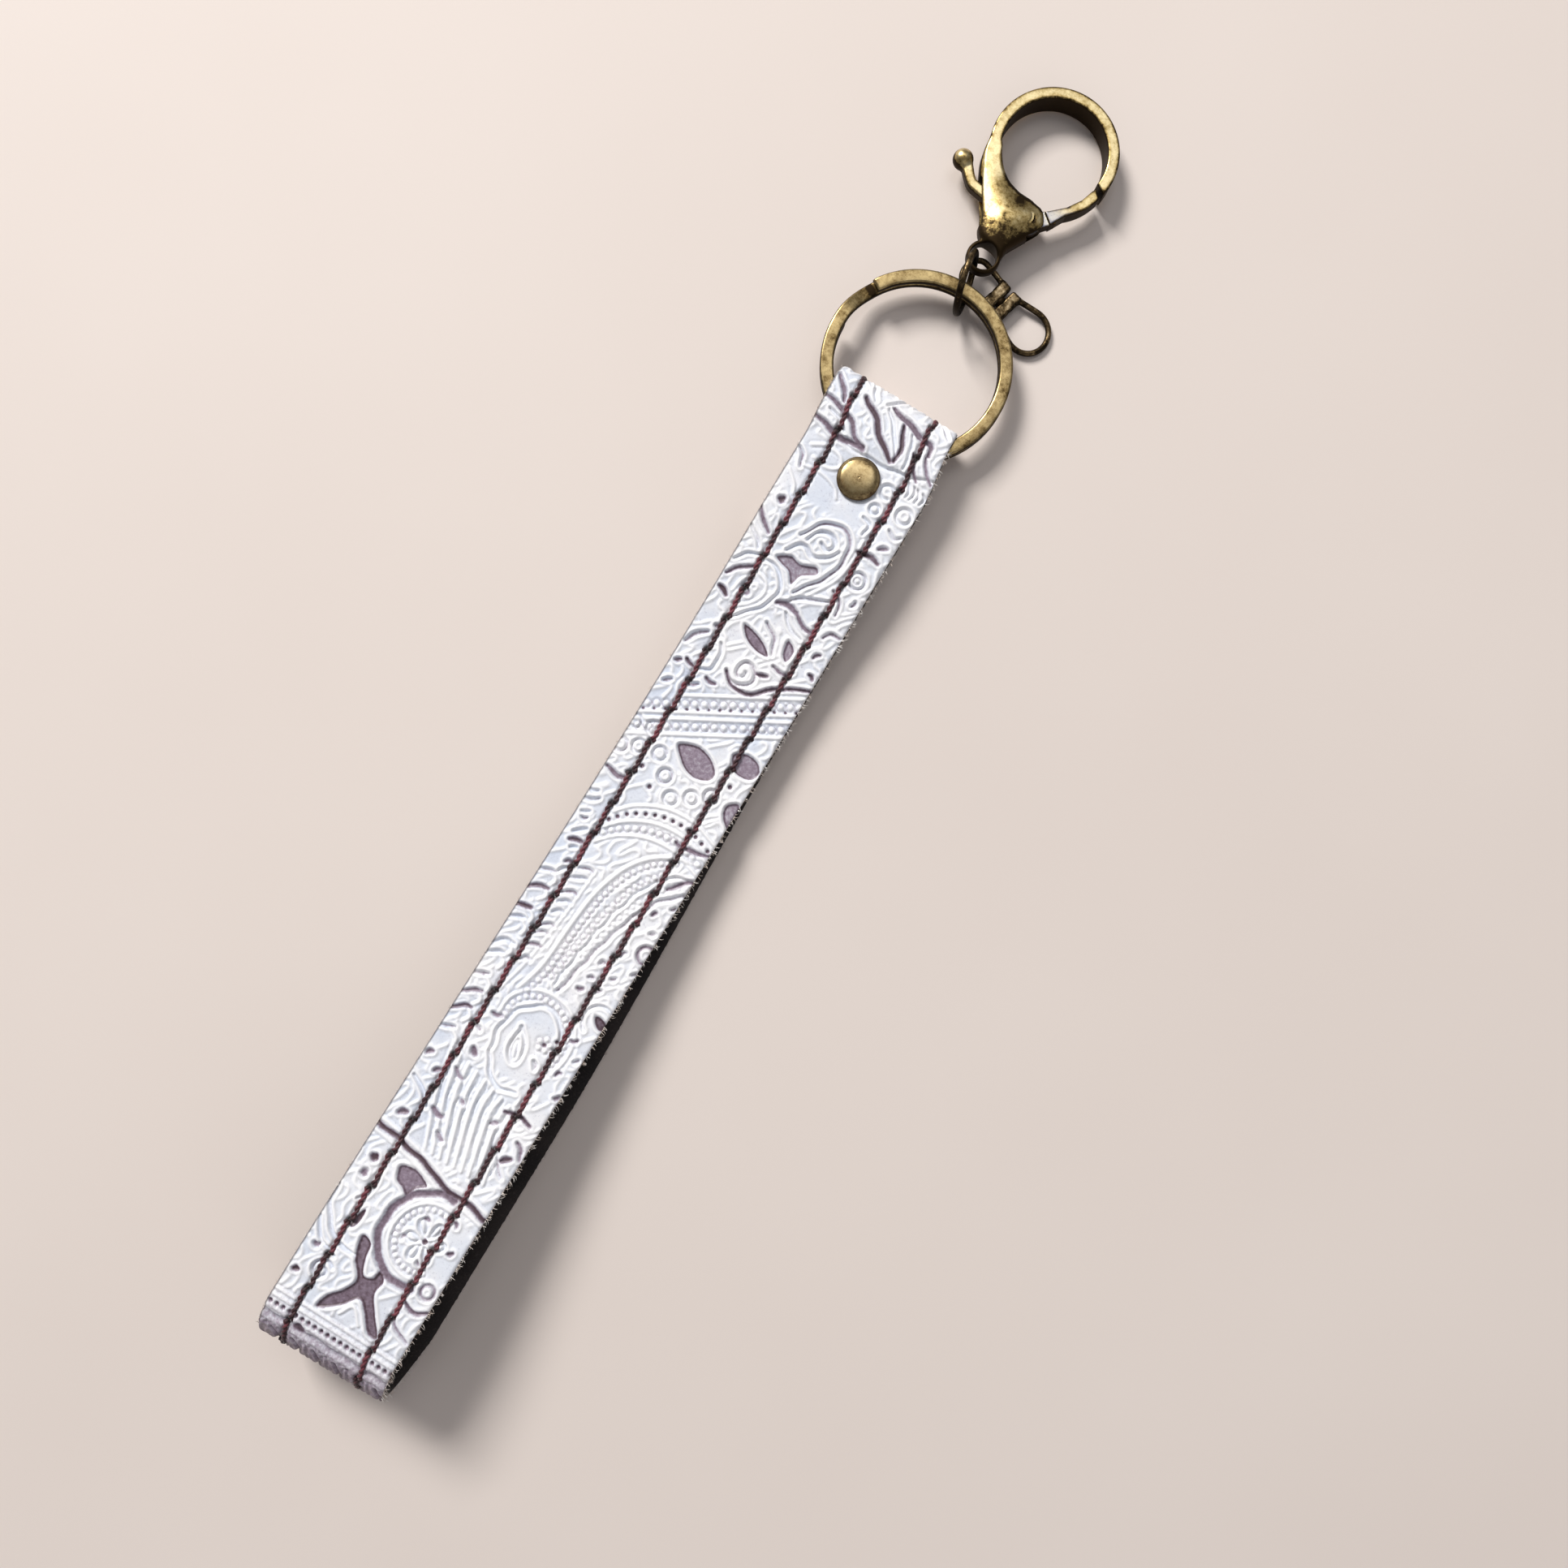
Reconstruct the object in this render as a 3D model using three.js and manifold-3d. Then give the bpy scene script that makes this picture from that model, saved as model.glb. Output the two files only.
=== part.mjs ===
// Wristlet keychain: a folded leather wrist strap, riveted round a split ring that
// carries a jump ring, a lobster claw clasp and a loose two-loop swivel.
// Millimetres, +Z up, lying flat. +Y runs along the strap towards the clasp, +X is to the right of it.
// While modelling, y = 0 is the strap's fold at the ring and z = 0 is the surface it lies on.
// The last lines move the origin to the middle of the footprint.
import * as THREE from 'three';
import * as BufferGeometryUtils from 'three/addons/utils/BufferGeometryUtils.js';
import Module from 'manifold-3d';

const wasm = await Module();
wasm.setup();

// ---- Driving dimensions ----

// Strap
const STRAP_LENGTH = 203.2;
const STRAP_HALF_WIDTH = 12.7;
const RING_END_HALF_WIDTH = 12.3;
const RING_END_LEAN = -1.07;
const FRONT_SKEW = -0.3;
const BACK_SKEW = 2.3;
const OUTER_THICKNESS = 1.1;
const LINING_THICKNESS = 0.8;
const SKIVED_OUTER_THICKNESS = 0.85;
const SKIVED_LINING_THICKNESS = 0.5;
const GLUE_LINE = 0.1;
const LOOP_FOLD_RADIUS = 9;
const RING_FOLD_RADIUS = 3.55;
const RING_FOLD_FLOOR = 0.9;
const TAIL_FLOOR = 1.3;
const SANDWICH_FLOOR = 3.4;
const FRONT_AT_RIVET = 7.5;

// Stitching
const STITCH_ROW_X = 7.6;
const NEEDLE_GROOVE_WIDTH = 1.4;
const BOBBIN_GROOVE_WIDTH = 1.0;
const GROOVE_SHARE = 0.45;
const THREAD_SIDE_GAP = 0.15;
const THREAD_FACE_GAP = 0.06;

// Rivet
const RIVET_Y = -17;
const CAP_RADIUS = 4;
const CAP_RISE = 1.4;
const BASE_DEPTH = 1.2;
const RIVET_HOLE_RADIUS = 1.95;
const SOCKET_RADIUS = 1.7;
const POST_RADIUS = 1.1;

// Split ring
const SPLIT_RADIUS = 16.5;
const SPLIT_WIDTH = 2.5;
const SPLIT_COIL_HEIGHT = 1.4;
const SPLIT_COIL_GAP = 0.1;
const SPLIT_CENTRE = new THREE.Vector3(-1.9, 6.9, 4.3);
const SPLIT_TILT = -0.6;
const SPLIT_END_ANGLE = 150.6;
const SPLIT_RAMP = 26;
const SPLIT_CLEARANCE = 0.15;

// Jump ring
const JUMP_RADIUS = 5.42;
const JUMP_WIRE = 1.25;
const JUMP_CENTRE = new THREE.Vector3(-2, 24.3, 6.05);
const JUMP_TURN = 12;
const JUMP_LEAN = 8;
const JUMP_GAP_ANGLE = 4;
const JUMP_CUT_AT = 205;

// Lobster clasp, in its own frame: origin in the middle of the eye, +Y towards the hook
const CLASP_EYE = new THREE.Vector3(-1.8, 30.4, 4.5);
const CLASP_TURN = -2.7;
const CLASP_PITCH = -3.1;
const EYE_OUTER_RADIUS = 3.2;
const EYE_HOLE_RADIUS = 2.45;
const EYE_HEIGHT = 2.2;
const HOOK_Y = 23.3;
const HOOK_OUTER_RADIUS = 12.1;
const HOOK_INNER_RADIUS = 9.9;
const HOOK_HEIGHT = 4.7;
const BODY_HEIGHT = 6.4;
const POCKET_HEIGHT = 2.7;
const TRIGGER_HEIGHT = 2.2;
const GATE_HEIGHT = 3.2;
const HUB_HEIGHT = 1.1;
const PIVOT = new THREE.Vector2(3.2, 10.3);
const PIVOT_PIN_RADIUS = 0.8;
const KNOB = new THREE.Vector2(-13.3, 13.4);
const KNOB_RADIUS = 1.95;

// Swivel, in its own frame: origin where it hangs on the jump ring, +X along its axis
const SWIVEL_END = new THREE.Vector3(-4.3, 28.9, 2.25);
const SWIVEL_TURN = -15;
const SWIVEL_PITCH = 4.3;
const UPPER_LOOP_LENGTH = 9;
const UPPER_LOOP_WIDTH = 6.8;
const LOWER_LOOP_LENGTH = 11.3;
const LOWER_LOOP_WIDTH = 9;
const PLATE_WIDTH = 5.2;
const PLATE_THICKNESS = 1;
const PLATE_HEIGHT = 1.8;
const PLATE_GAP = 1.4;
const SWIVEL_WIRE = 1.1;
const SWIVEL_PIN_RADIUS = 0.55;

// ---- Materials ----

function metal(color, roughness) {
  return new THREE.MeshStandardMaterial({ color, roughness, metalness: 1 });
}

function soft(color, roughness) {
  return new THREE.MeshStandardMaterial({ color, roughness, metalness: 0 });
}

const whiteLeather = soft(0xd9dde2, 0.6);
const darkSuede = soft(0x2a211f, 0.95);
const burgundyThread = soft(0x5a2a2e, 0.8);
const antiqueBrass = metal(0xa88b4f, 0.38);
const darkBrass = metal(0x6b5a3c, 0.45);
const springSteel = metal(0x8c8c8c, 0.35);

// ---- Helpers ----

const rad = THREE.MathUtils.degToRad;
const { lerp, smoothstep } = THREE.MathUtils;

function toSolid(geometry) {
  const bare = geometry.clone();
  bare.deleteAttribute('normal');
  bare.deleteAttribute('uv');
  const merged = BufferGeometryUtils.mergeVertices(bare, 1e-4);
  const vertProperties = new Float32Array(merged.attributes.position.array);
  const triVerts = new Uint32Array(merged.index.array);
  return new wasm.Manifold(new wasm.Mesh({ numProp: 3, vertProperties, triVerts }));
}

function toGeometry(solid) {
  const { vertProperties, triVerts } = solid.getMesh();
  const geometry = new THREE.BufferGeometry();
  geometry.setAttribute('position', new THREE.BufferAttribute(vertProperties, 3));
  geometry.setIndex(new THREE.BufferAttribute(triVerts, 1));
  geometry.computeVertexNormals();
  return geometry;
}

function union(...geometries) {
  return geometries.map(toSolid).reduce((sum, solid) => sum.add(solid));
}

// A closed solid through a list of equal-length closed outlines of Vector3.
// sections.lateral is the first outline in its own plane, for the end faces.
function loft(sections) {
  const size = sections[0].length;
  const position = sections.flat().flatMap((p) => [p.x, p.y, p.z]);
  const index = [];
  for (let i = 0; i + 1 < sections.length; i += 1) {
    for (let j = 0; j < size; j += 1) {
      const a = i * size + j;
      const b = i * size + ((j + 1) % size);
      index.push(a, a + size, b);
      index.push(b, a + size, b + size);
    }
  }
  const flat = sections.lateral.map(([x, o]) => new THREE.Vector2(x, o));
  const last = (sections.length - 1) * size;
  for (const [a, b, c] of THREE.ShapeUtils.triangulateShape(flat, [])) {
    index.push(a, b, c);
    index.push(last + a, last + c, last + b);
  }
  const geometry = new THREE.BufferGeometry();
  geometry.setAttribute('position', new THREE.Float32BufferAttribute(position, 3));
  geometry.setIndex(index);
  geometry.computeVertexNormals();
  return geometry;
}

function lathe(profile, segments = 28) {
  const points = profile.map(([r, z]) => new THREE.Vector2(r, z));
  return new THREE.LatheGeometry(points, segments).rotateX(Math.PI / 2);
}

function plate(outline, height, bevel = 0, holes = []) {
  const shape = new THREE.Shape(outline);
  shape.holes = holes.map((hole) => new THREE.Path(hole));
  const geometry = new THREE.ExtrudeGeometry(shape, {
    depth: height - 2 * bevel,
    bevelEnabled: bevel > 0,
    bevelThickness: bevel,
    bevelSize: bevel,
    bevelOffset: -bevel,
    bevelSegments: 1,
    curveSegments: 1,
  });
  return geometry.translate(0, 0, bevel - height / 2);
}

function cylinder(radius, low, high, centre, segments = 20) {
  const geometry = new THREE.CylinderGeometry(radius, radius, high - low, segments);
  geometry.rotateX(Math.PI / 2);
  return geometry.translate(centre.x, centre.y, (low + high) / 2);
}

function arc(centre, radius, from, to, steps) {
  const points = [];
  for (let i = 0; i <= steps; i += 1) {
    const angle = rad(lerp(from, to, i / steps));
    points.push(new THREE.Vector2(
      centre.x + radius * Math.cos(angle),
      centre.y + radius * Math.sin(angle),
    ));
  }
  return points;
}

function chamferedBox(width, height, chamfer) {
  const w = width / 2;
  const h = height / 2;
  const c = chamfer;
  return new THREE.Shape([
    [-w + c, -h], [w - c, -h], [w, -h + c], [w, h - c],
    [w - c, h], [-w + c, h], [-w, h - c], [-w, -h + c],
  ].map(([x, y]) => new THREE.Vector2(x, y)));
}

function tube(section, curve, steps) {
  return new THREE.ExtrudeGeometry(section, { steps, extrudePath: curve, bevelEnabled: false });
}

const model = new THREE.Group();

function addPart(name, geometry, material, parent = model) {
  const mesh = new THREE.Mesh(geometry, material);
  mesh.name = name;
  parent.add(mesh);
  return mesh;
}

// ---- Strap: one strip that runs from its tail under the ring, over the ring fold, down the
// front, round the loop fold and back up between the tail and the front ----

// side is -1 on the front layer and 1 on the back layer, and turns over in the loop fold
function strapRoute() {
  const tailEnd = -22.5;
  const sandwichEnd = -13.4;
  const loopCentre = -STRAP_LENGTH + LOOP_FOLD_RADIUS;
  const loopTop = 2 * LOOP_FOLD_RADIUS;
  const route = [];
  const add = (curve, steps, side = () => -1) => {
    const first = route.length === 0 ? 0 : 1;
    for (let i = first; i <= steps; i += 1) {
      const p = curve.getPoint(i / steps);
      const t = curve.getTangent(i / steps);
      route.push({ y: p.x, z: p.y, out: new THREE.Vector2(t.y, -t.x), side: side(i / steps) });
    }
  };
  const v = (y, z) => new THREE.Vector2(y, z);
  const straight = (a, b) => add(new THREE.LineCurve(a, b), 1);
  const bend = (a, b, c, d, steps, side) => add(new THREE.CubicBezierCurve(a, b, c, d), steps, side);

  // Tail, below the ring
  straight(v(tailEnd, TAIL_FLOOR), v(-13.6, TAIL_FLOOR));
  bend(v(-13.6, TAIL_FLOOR), v(-12.2, TAIL_FLOOR), v(-11.6, RING_FOLD_FLOOR), v(-10, RING_FOLD_FLOOR), 4);
  straight(v(-10, RING_FOLD_FLOOR), v(-RING_FOLD_RADIUS, RING_FOLD_FLOOR));

  // Ring fold
  const foldTop = RING_FOLD_FLOOR + 2 * RING_FOLD_RADIUS;
  const fold = new THREE.EllipseCurve(
    -RING_FOLD_RADIUS, RING_FOLD_FLOOR + RING_FOLD_RADIUS,
    RING_FOLD_RADIUS, RING_FOLD_RADIUS, -Math.PI / 2, Math.PI / 2, false, 0,
  );
  add(fold, 10);

  // Front, pinched down by the rivet and then rising slowly towards the loop fold
  straight(v(-RING_FOLD_RADIUS, foldTop), v(-9.6, foldTop));
  bend(v(-9.6, foldTop), v(-11.6, foldTop), v(-12, FRONT_AT_RIVET), v(-13.2, FRONT_AT_RIVET), 4);
  straight(v(-13.2, FRONT_AT_RIVET), v(-26, FRONT_AT_RIVET));
  bend(v(-26, FRONT_AT_RIVET), v(-34, FRONT_AT_RIVET), v(-42, 5.4), v(-60, 5.4), 6);
  bend(v(-60, 5.4), v(-90, 5.4), v(-115, 8.6), v(-140, 11.6), 6);
  bend(v(-140, 11.6), v(-165, 14.6), v(-178, loopTop), v(loopCentre, loopTop), 7);

  // Loop fold
  const loop = new THREE.EllipseCurve(
    loopCentre, LOOP_FOLD_RADIUS, LOOP_FOLD_RADIUS, LOOP_FOLD_RADIUS,
    Math.PI / 2, Math.PI * 1.5, false, 0,
  );
  add(loop, 14, (t) => lerp(-1, 1, t));

  // Back, flat on the surface, then up between the tail and the front
  const back = () => 1;
  add(new THREE.LineCurve(v(loopCentre, 0), v(-100, 0)), 3, back);
  add(new THREE.LineCurve(v(-100, 0), v(-37, 0)), 2, back);
  bend(v(-37, 0), v(-32, 0), v(-30, SANDWICH_FLOOR), v(-24.5, SANDWICH_FLOOR), 7, back);
  add(new THREE.LineCurve(v(-24.5, SANDWICH_FLOOR), v(sandwichEnd, SANDWICH_FLOOR)), 1, back);
  return route;
}

const route = strapRoute();

// 0 along the strap and 1 at the ring fold, where the strip is thinned and leans to the left
function ringEnd(y) {
  return smoothstep(y, -14.5, -11);
}

function strapShift({ y, side }) {
  const skew = lerp(FRONT_SKEW, BACK_SKEW, (side + 1) / 2);
  return RING_END_LEAN * smoothstep(y, -16, -2) + skew * smoothstep(-y, 55, 150);
}

function layers(y) {
  const outer = lerp(OUTER_THICKNESS, SKIVED_OUTER_THICKNESS, ringEnd(y));
  const lining = lerp(LINING_THICKNESS, SKIVED_LINING_THICKNESS, ringEnd(y));
  return { outer, lining, total: outer + GLUE_LINE + lining };
}

// Sweeps a cross-section along the strip. outlineAt gives [across, depth below the outer face] points.
function sweepAlongStrap(outlineAt) {
  const sections = route.map((station) => {
    const shift = strapShift(station);
    return outlineAt(station.y).map(([x, depth]) => new THREE.Vector3(
      x + shift,
      station.y - station.out.x * depth,
      station.z - station.out.y * depth,
    ));
  });
  sections.lateral = outlineAt(route[0].y);
  return loft(sections);
}

function halfWidth(y) {
  return lerp(STRAP_HALF_WIDTH, RING_END_HALF_WIDTH, smoothstep(y, -16, -2));
}

// One face of a strip with two grooves: low and high are depths, groove is cut from the face at `face`
function grooved(w, face, far, grooveWidth, grooveDepth) {
  const floor = face + Math.sign(far - face) * grooveDepth;
  const a = STITCH_ROW_X - grooveWidth / 2;
  const b = STITCH_ROW_X + grooveWidth / 2;
  const outline = [
    [-w, face], [-b, face], [-b, floor], [-a, floor], [-a, face],
    [a, face], [a, floor], [b, floor], [b, face], [w, face], [w, far], [-w, far],
  ];
  return far > face ? outline : outline.reverse();
}

const rivetHole = toSolid(cylinder(RIVET_HOLE_RADIUS, -5, 15, new THREE.Vector2(0, RIVET_Y), 24));

// Where the ring leaves the fold's corners it presses a groove into the strip
const ringPath = new THREE.LatheGeometry([
  [SPLIT_RADIUS - SPLIT_WIDTH / 2 - SPLIT_CLEARANCE, -SPLIT_COIL_HEIGHT - 2 * SPLIT_CLEARANCE],
  [SPLIT_RADIUS + SPLIT_WIDTH / 2 + SPLIT_CLEARANCE, -SPLIT_COIL_HEIGHT - 2 * SPLIT_CLEARANCE],
  [SPLIT_RADIUS + SPLIT_WIDTH / 2 + SPLIT_CLEARANCE, SPLIT_COIL_HEIGHT + 2 * SPLIT_CLEARANCE],
  [SPLIT_RADIUS - SPLIT_WIDTH / 2 - SPLIT_CLEARANCE, SPLIT_COIL_HEIGHT + 2 * SPLIT_CLEARANCE],
  [SPLIT_RADIUS - SPLIT_WIDTH / 2 - SPLIT_CLEARANCE, -SPLIT_COIL_HEIGHT - 2 * SPLIT_CLEARANCE],
].map(([r, z]) => new THREE.Vector2(r, z)), 72);
ringPath.rotateX(Math.PI / 2 + rad(SPLIT_TILT)).translate(SPLIT_CENTRE.x, SPLIT_CENTRE.y, SPLIT_CENTRE.z);
const strapCuts = toSolid(ringPath).add(rivetHole);

const outerBand = sweepAlongStrap((y) => {
  const { outer } = layers(y);
  return grooved(halfWidth(y), 0, outer, NEEDLE_GROOVE_WIDTH, GROOVE_SHARE * outer);
});
addPart('strap_outer', toGeometry(toSolid(outerBand).subtract(strapCuts)), whiteLeather);

const liningBand = sweepAlongStrap((y) => {
  const { outer, lining, total } = layers(y);
  return grooved(halfWidth(y), total, outer + GLUE_LINE, BOBBIN_GROOVE_WIDTH, GROOVE_SHARE * lining);
});
addPart('strap_lining', toGeometry(toSolid(liningBand).subtract(strapCuts)), darkSuede);

// Threads, each one run the whole length of its groove
function threadRun(rowX, grooveWidth, depthsAt) {
  const half = grooveWidth / 2 - THREAD_SIDE_GAP;
  return sweepAlongStrap((y) => {
    const [near, deep] = depthsAt(layers(y));
    return [[rowX - half, near], [rowX + half, near], [rowX + half, deep], [rowX - half, deep]];
  });
}

const needleDepths = ({ outer }) => [THREAD_FACE_GAP, GROOVE_SHARE * outer - THREAD_FACE_GAP];
const bobbinDepths = ({ lining, total }) => [
  total - GROOVE_SHARE * lining + THREAD_FACE_GAP,
  total - THREAD_FACE_GAP,
];

for (const [sideName, rowX] of [['left', -STITCH_ROW_X], ['right', STITCH_ROW_X]]) {
  addPart(`stitch_thread_${sideName}`, threadRun(rowX, NEEDLE_GROOVE_WIDTH, needleDepths), burgundyThread);
  addPart(`bobbin_thread_${sideName}`, threadRun(rowX, BOBBIN_GROOVE_WIDTH, bobbinDepths), burgundyThread);
}

// ---- Rivet: a post rolled into the base shell, pressed into a socket held by the domed cap ----

const rivet = new THREE.Group();
rivet.position.set(0, RIVET_Y, 0);
model.add(rivet);

const capSeat = FRONT_AT_RIVET + 0.1;
addPart('rivet_cap_shell', lathe([
  [2.3, capSeat], [CAP_RADIUS - 0.3, capSeat], [CAP_RADIUS, capSeat + 0.3],
  [CAP_RADIUS - 0.15, capSeat + 0.65], [3.1, capSeat + 1.05], [1.7, capSeat + 1.32], [0, capSeat + CAP_RISE],
  [0, capSeat + CAP_RISE - 0.3], [1.6, capSeat + 1.03], [2.9, capSeat + 0.78],
  [3.5, capSeat + 0.5], [3.5, capSeat + 0.25], [2.3, capSeat + 0.25], [2.3, capSeat],
]), antiqueBrass, rivet);

addPart('rivet_cap_socket', lathe([
  [1.3, 4], [SOCKET_RADIUS, 4], [SOCKET_RADIUS, capSeat + 0.35], [2.6, capSeat + 0.35],
  [2.6, capSeat + 0.6], [1.3, capSeat + 0.6], [1.3, 4],
], 20), antiqueBrass, rivet);

addPart('rivet_post', lathe([
  [0, 0.45], [2.4, 0.45], [2.4, 0.7], [POST_RADIUS, 0.7], [POST_RADIUS, capSeat + 0.3],
  [0.6, capSeat + 0.5], [0, capSeat + 0.5],
], 20), antiqueBrass, rivet);

addPart('rivet_base_shell', lathe([
  [0, 0.02], [2.6, 0.02], [CAP_RADIUS - 0.4, 0.3], [CAP_RADIUS, 0.75], [CAP_RADIUS - 0.2, BASE_DEPTH],
  [2, BASE_DEPTH], [2, BASE_DEPTH - 0.3], [3.4, BASE_DEPTH - 0.3], [3.5, 0.75],
  [3.2, 0.55], [2.5, 0.32], [0, 0.32],
]), antiqueBrass, rivet);

// ---- Split ring: two turns of flat wire that change level in one short ramp ----

class SplitRingCurve extends THREE.Curve {
  getPoint(t) {
    const turned = t * (720 - SPLIT_RAMP);
    const level = smoothstep(turned, 360 - SPLIT_RAMP, 360);
    const angle = rad(SPLIT_END_ANGLE - turned);
    const rise = (SPLIT_COIL_HEIGHT + SPLIT_COIL_GAP) * (0.5 - level);
    return new THREE.Vector3(SPLIT_RADIUS * Math.cos(angle), SPLIT_RADIUS * Math.sin(angle), rise);
  }
}

const keyRing = new THREE.Group();
keyRing.position.copy(SPLIT_CENTRE);
keyRing.rotation.x = rad(SPLIT_TILT);
model.add(keyRing);
const splitSection = chamferedBox(SPLIT_COIL_HEIGHT, SPLIT_WIDTH, 0.35);
addPart('split_ring', tube(splitSection, new SplitRingCurve(), 110), antiqueBrass, keyRing);

// ---- Jump ring: round wire, standing on edge, with a fine cut ----

class JumpRingCurve extends THREE.Curve {
  getPoint(t) {
    const angle = rad(lerp(JUMP_GAP_ANGLE / 2, 360 - JUMP_GAP_ANGLE / 2, t) + JUMP_CUT_AT);
    return new THREE.Vector3(0, JUMP_RADIUS * Math.cos(angle), JUMP_RADIUS * Math.sin(angle));
  }
}

const jumpRing = new THREE.Group();
jumpRing.position.copy(JUMP_CENTRE);
jumpRing.rotation.order = 'ZYX';
jumpRing.rotation.set(0, rad(-JUMP_LEAN), rad(JUMP_TURN));
model.add(jumpRing);
const roundWire = new THREE.Shape(arc(new THREE.Vector2(), JUMP_WIRE / 2, 0, 315, 7));
addPart('jump_ring', tube(roundWire, new JumpRingCurve(), 36), darkBrass, jumpRing);

// ---- Lobster clasp ----

const clasp = new THREE.Group();
clasp.position.copy(CLASP_EYE);
clasp.rotation.order = 'ZYX';
clasp.rotation.set(rad(CLASP_PITCH), 0, rad(CLASP_TURN));
model.add(clasp);

const hookCentre = new THREE.Vector2(0, HOOK_Y);
const points = (list) => list.map(([x, y]) => new THREE.Vector2(x, y));

// Angles about the hook's centre: the neck is on the left, the tip ends at the right
const hookOutline = [
  ...arc(hookCentre, HOOK_OUTER_RADIUS, 208, -8, 26),
  ...arc(hookCentre, HOOK_INNER_RADIUS, -4, 237, 28),
  ...points([[-3.8, 14.1], [-1.2, 13.5], [1.9, 13.6], [3, 12.4], [-5, 9]]),
];
const bodyOutline = points([
  [2.4, 1.6], [3, 3.4], [4.4, 6.4], [6.3, 10.3], [5.7, 12], [4.4, 13.3], [2.5, 13.6], [-1.2, 13.5],
  [-3.8, 14.1], [-6, 15.4], [-7.8, 17.4], [-8.9, 19], [-10.9, 18.4], [-10.8, 16], [-9.6, 13.2],
  [-7.4, 9.7], [-5, 6.2], [-2.6, 2.6],
]);

// The flat pocket in the body's middle plane that the trigger swings in
const pocketOutline = points([
  [-12, 12.4], [-8, 11.8], [-1, 11.8], [1.2, 13], [2.4, 16], [8, 16], [8, 8.6], [4.5, 7.2],
  [1.5, 7.2], [-1, 6.2], [-4.4, 3.9], [-12, 3.9],
]);

const eyeRing = cylinder(EYE_OUTER_RADIUS, -EYE_HEIGHT / 2, EYE_HEIGHT / 2, new THREE.Vector2(), 28);
const eyeHole = toSolid(cylinder(EYE_HOLE_RADIUS, -5, 5, new THREE.Vector2(), 28));
const pinHole = toSolid(cylinder(PIVOT_PIN_RADIUS + 0.12, -5, 5, PIVOT, 16));
const claspBody = union(
  plate(hookOutline, HOOK_HEIGHT, 0.6),
  plate(bodyOutline, BODY_HEIGHT, 1),
  plate(bodyOutline.map((p) => p.clone().multiplyScalar(0.97)), HOOK_HEIGHT),
  eyeRing,
).subtract(toSolid(plate(pocketOutline, POCKET_HEIGHT))).subtract(eyeHole).subtract(pinHole);
addPart('clasp_body', toGeometry(claspBody), antiqueBrass, clasp);

// Trigger: thumb lever with a ball, hub round the pin, and the gate that closes the hook.
// It is its own group, turned about the pin.
const trigger = new THREE.Group();
trigger.position.set(PIVOT.x, PIVOT.y, 0);
clasp.add(trigger);

const leverOutline = points([
  [2.4, 9.1], [2.4, 11.5], [-4, 11.2], [-8.4, 11.2], [-9.6, 11.7], [-11.8, 13.8],
  [-13, 12.5], [-10.3, 9.8], [-8.4, 9.1], [-4, 8.9],
]);
const gateRootOutline = points([[3, 8.3], [5.2, 9.6], [7.6, 12.6], [6.4, 14.6], [2.2, 11.6]]);
const gateOutline = [
  ...points([[4.75, 13.1], [7.6, 16.1], [9.2, 18.9], [9.85, 21.4], [10.2, 22.1]]),
  ...arc(hookCentre, HOOK_OUTER_RADIUS - 0.1, -12, -46, 5),
  ...points([[6.9, 11.6]]),
];
const hubTop = -POCKET_HEIGHT / 2 + 0.15 + HUB_HEIGHT;
const springRecess = toSolid(cylinder(2.5, hubTop, 5, PIVOT, 24));
const triggerSolid = union(
  plate(leverOutline, TRIGGER_HEIGHT),
  plate(gateRootOutline, TRIGGER_HEIGHT),
  plate(gateOutline, GATE_HEIGHT, 0.4),
  cylinder(2.3, -TRIGGER_HEIGHT / 2, TRIGGER_HEIGHT / 2, PIVOT, 24),
  new THREE.SphereGeometry(KNOB_RADIUS, 16, 10).translate(KNOB.x, KNOB.y, 0),
).subtract(springRecess).subtract(pinHole);
const triggerGeometry = toGeometry(triggerSolid).translate(-PIVOT.x, -PIVOT.y, 0);
addPart('trigger_lever', triggerGeometry, antiqueBrass, trigger);

addPart(
  'trigger_pin',
  cylinder(PIVOT_PIN_RADIUS, -BODY_HEIGHT / 2 + 0.1, BODY_HEIGHT / 2 - 0.1, PIVOT, 16),
  antiqueBrass,
  clasp,
);

class CoilCurve extends THREE.Curve {
  getPoint(t) {
    const angle = rad(30 + 600 * t);
    return new THREE.Vector3(
      PIVOT.x + 1.5 * Math.cos(angle),
      PIVOT.y + 1.5 * Math.sin(angle),
      hubTop + 0.35 + 0.8 * t,
    );
  }
}

addPart('trigger_spring', tube(chamferedBox(0.36, 0.36, 0.1), new CoilCurve(), 36), springSteel, clasp);

// ---- Swivel: two wire stirrups whose flat bases are joined by a rivet ----

const swivel = new THREE.Group();
swivel.position.copy(SWIVEL_END);
swivel.rotation.order = 'ZYX';
swivel.rotation.set(0, rad(SWIVEL_PITCH), rad(SWIVEL_TURN));
model.add(swivel);

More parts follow.
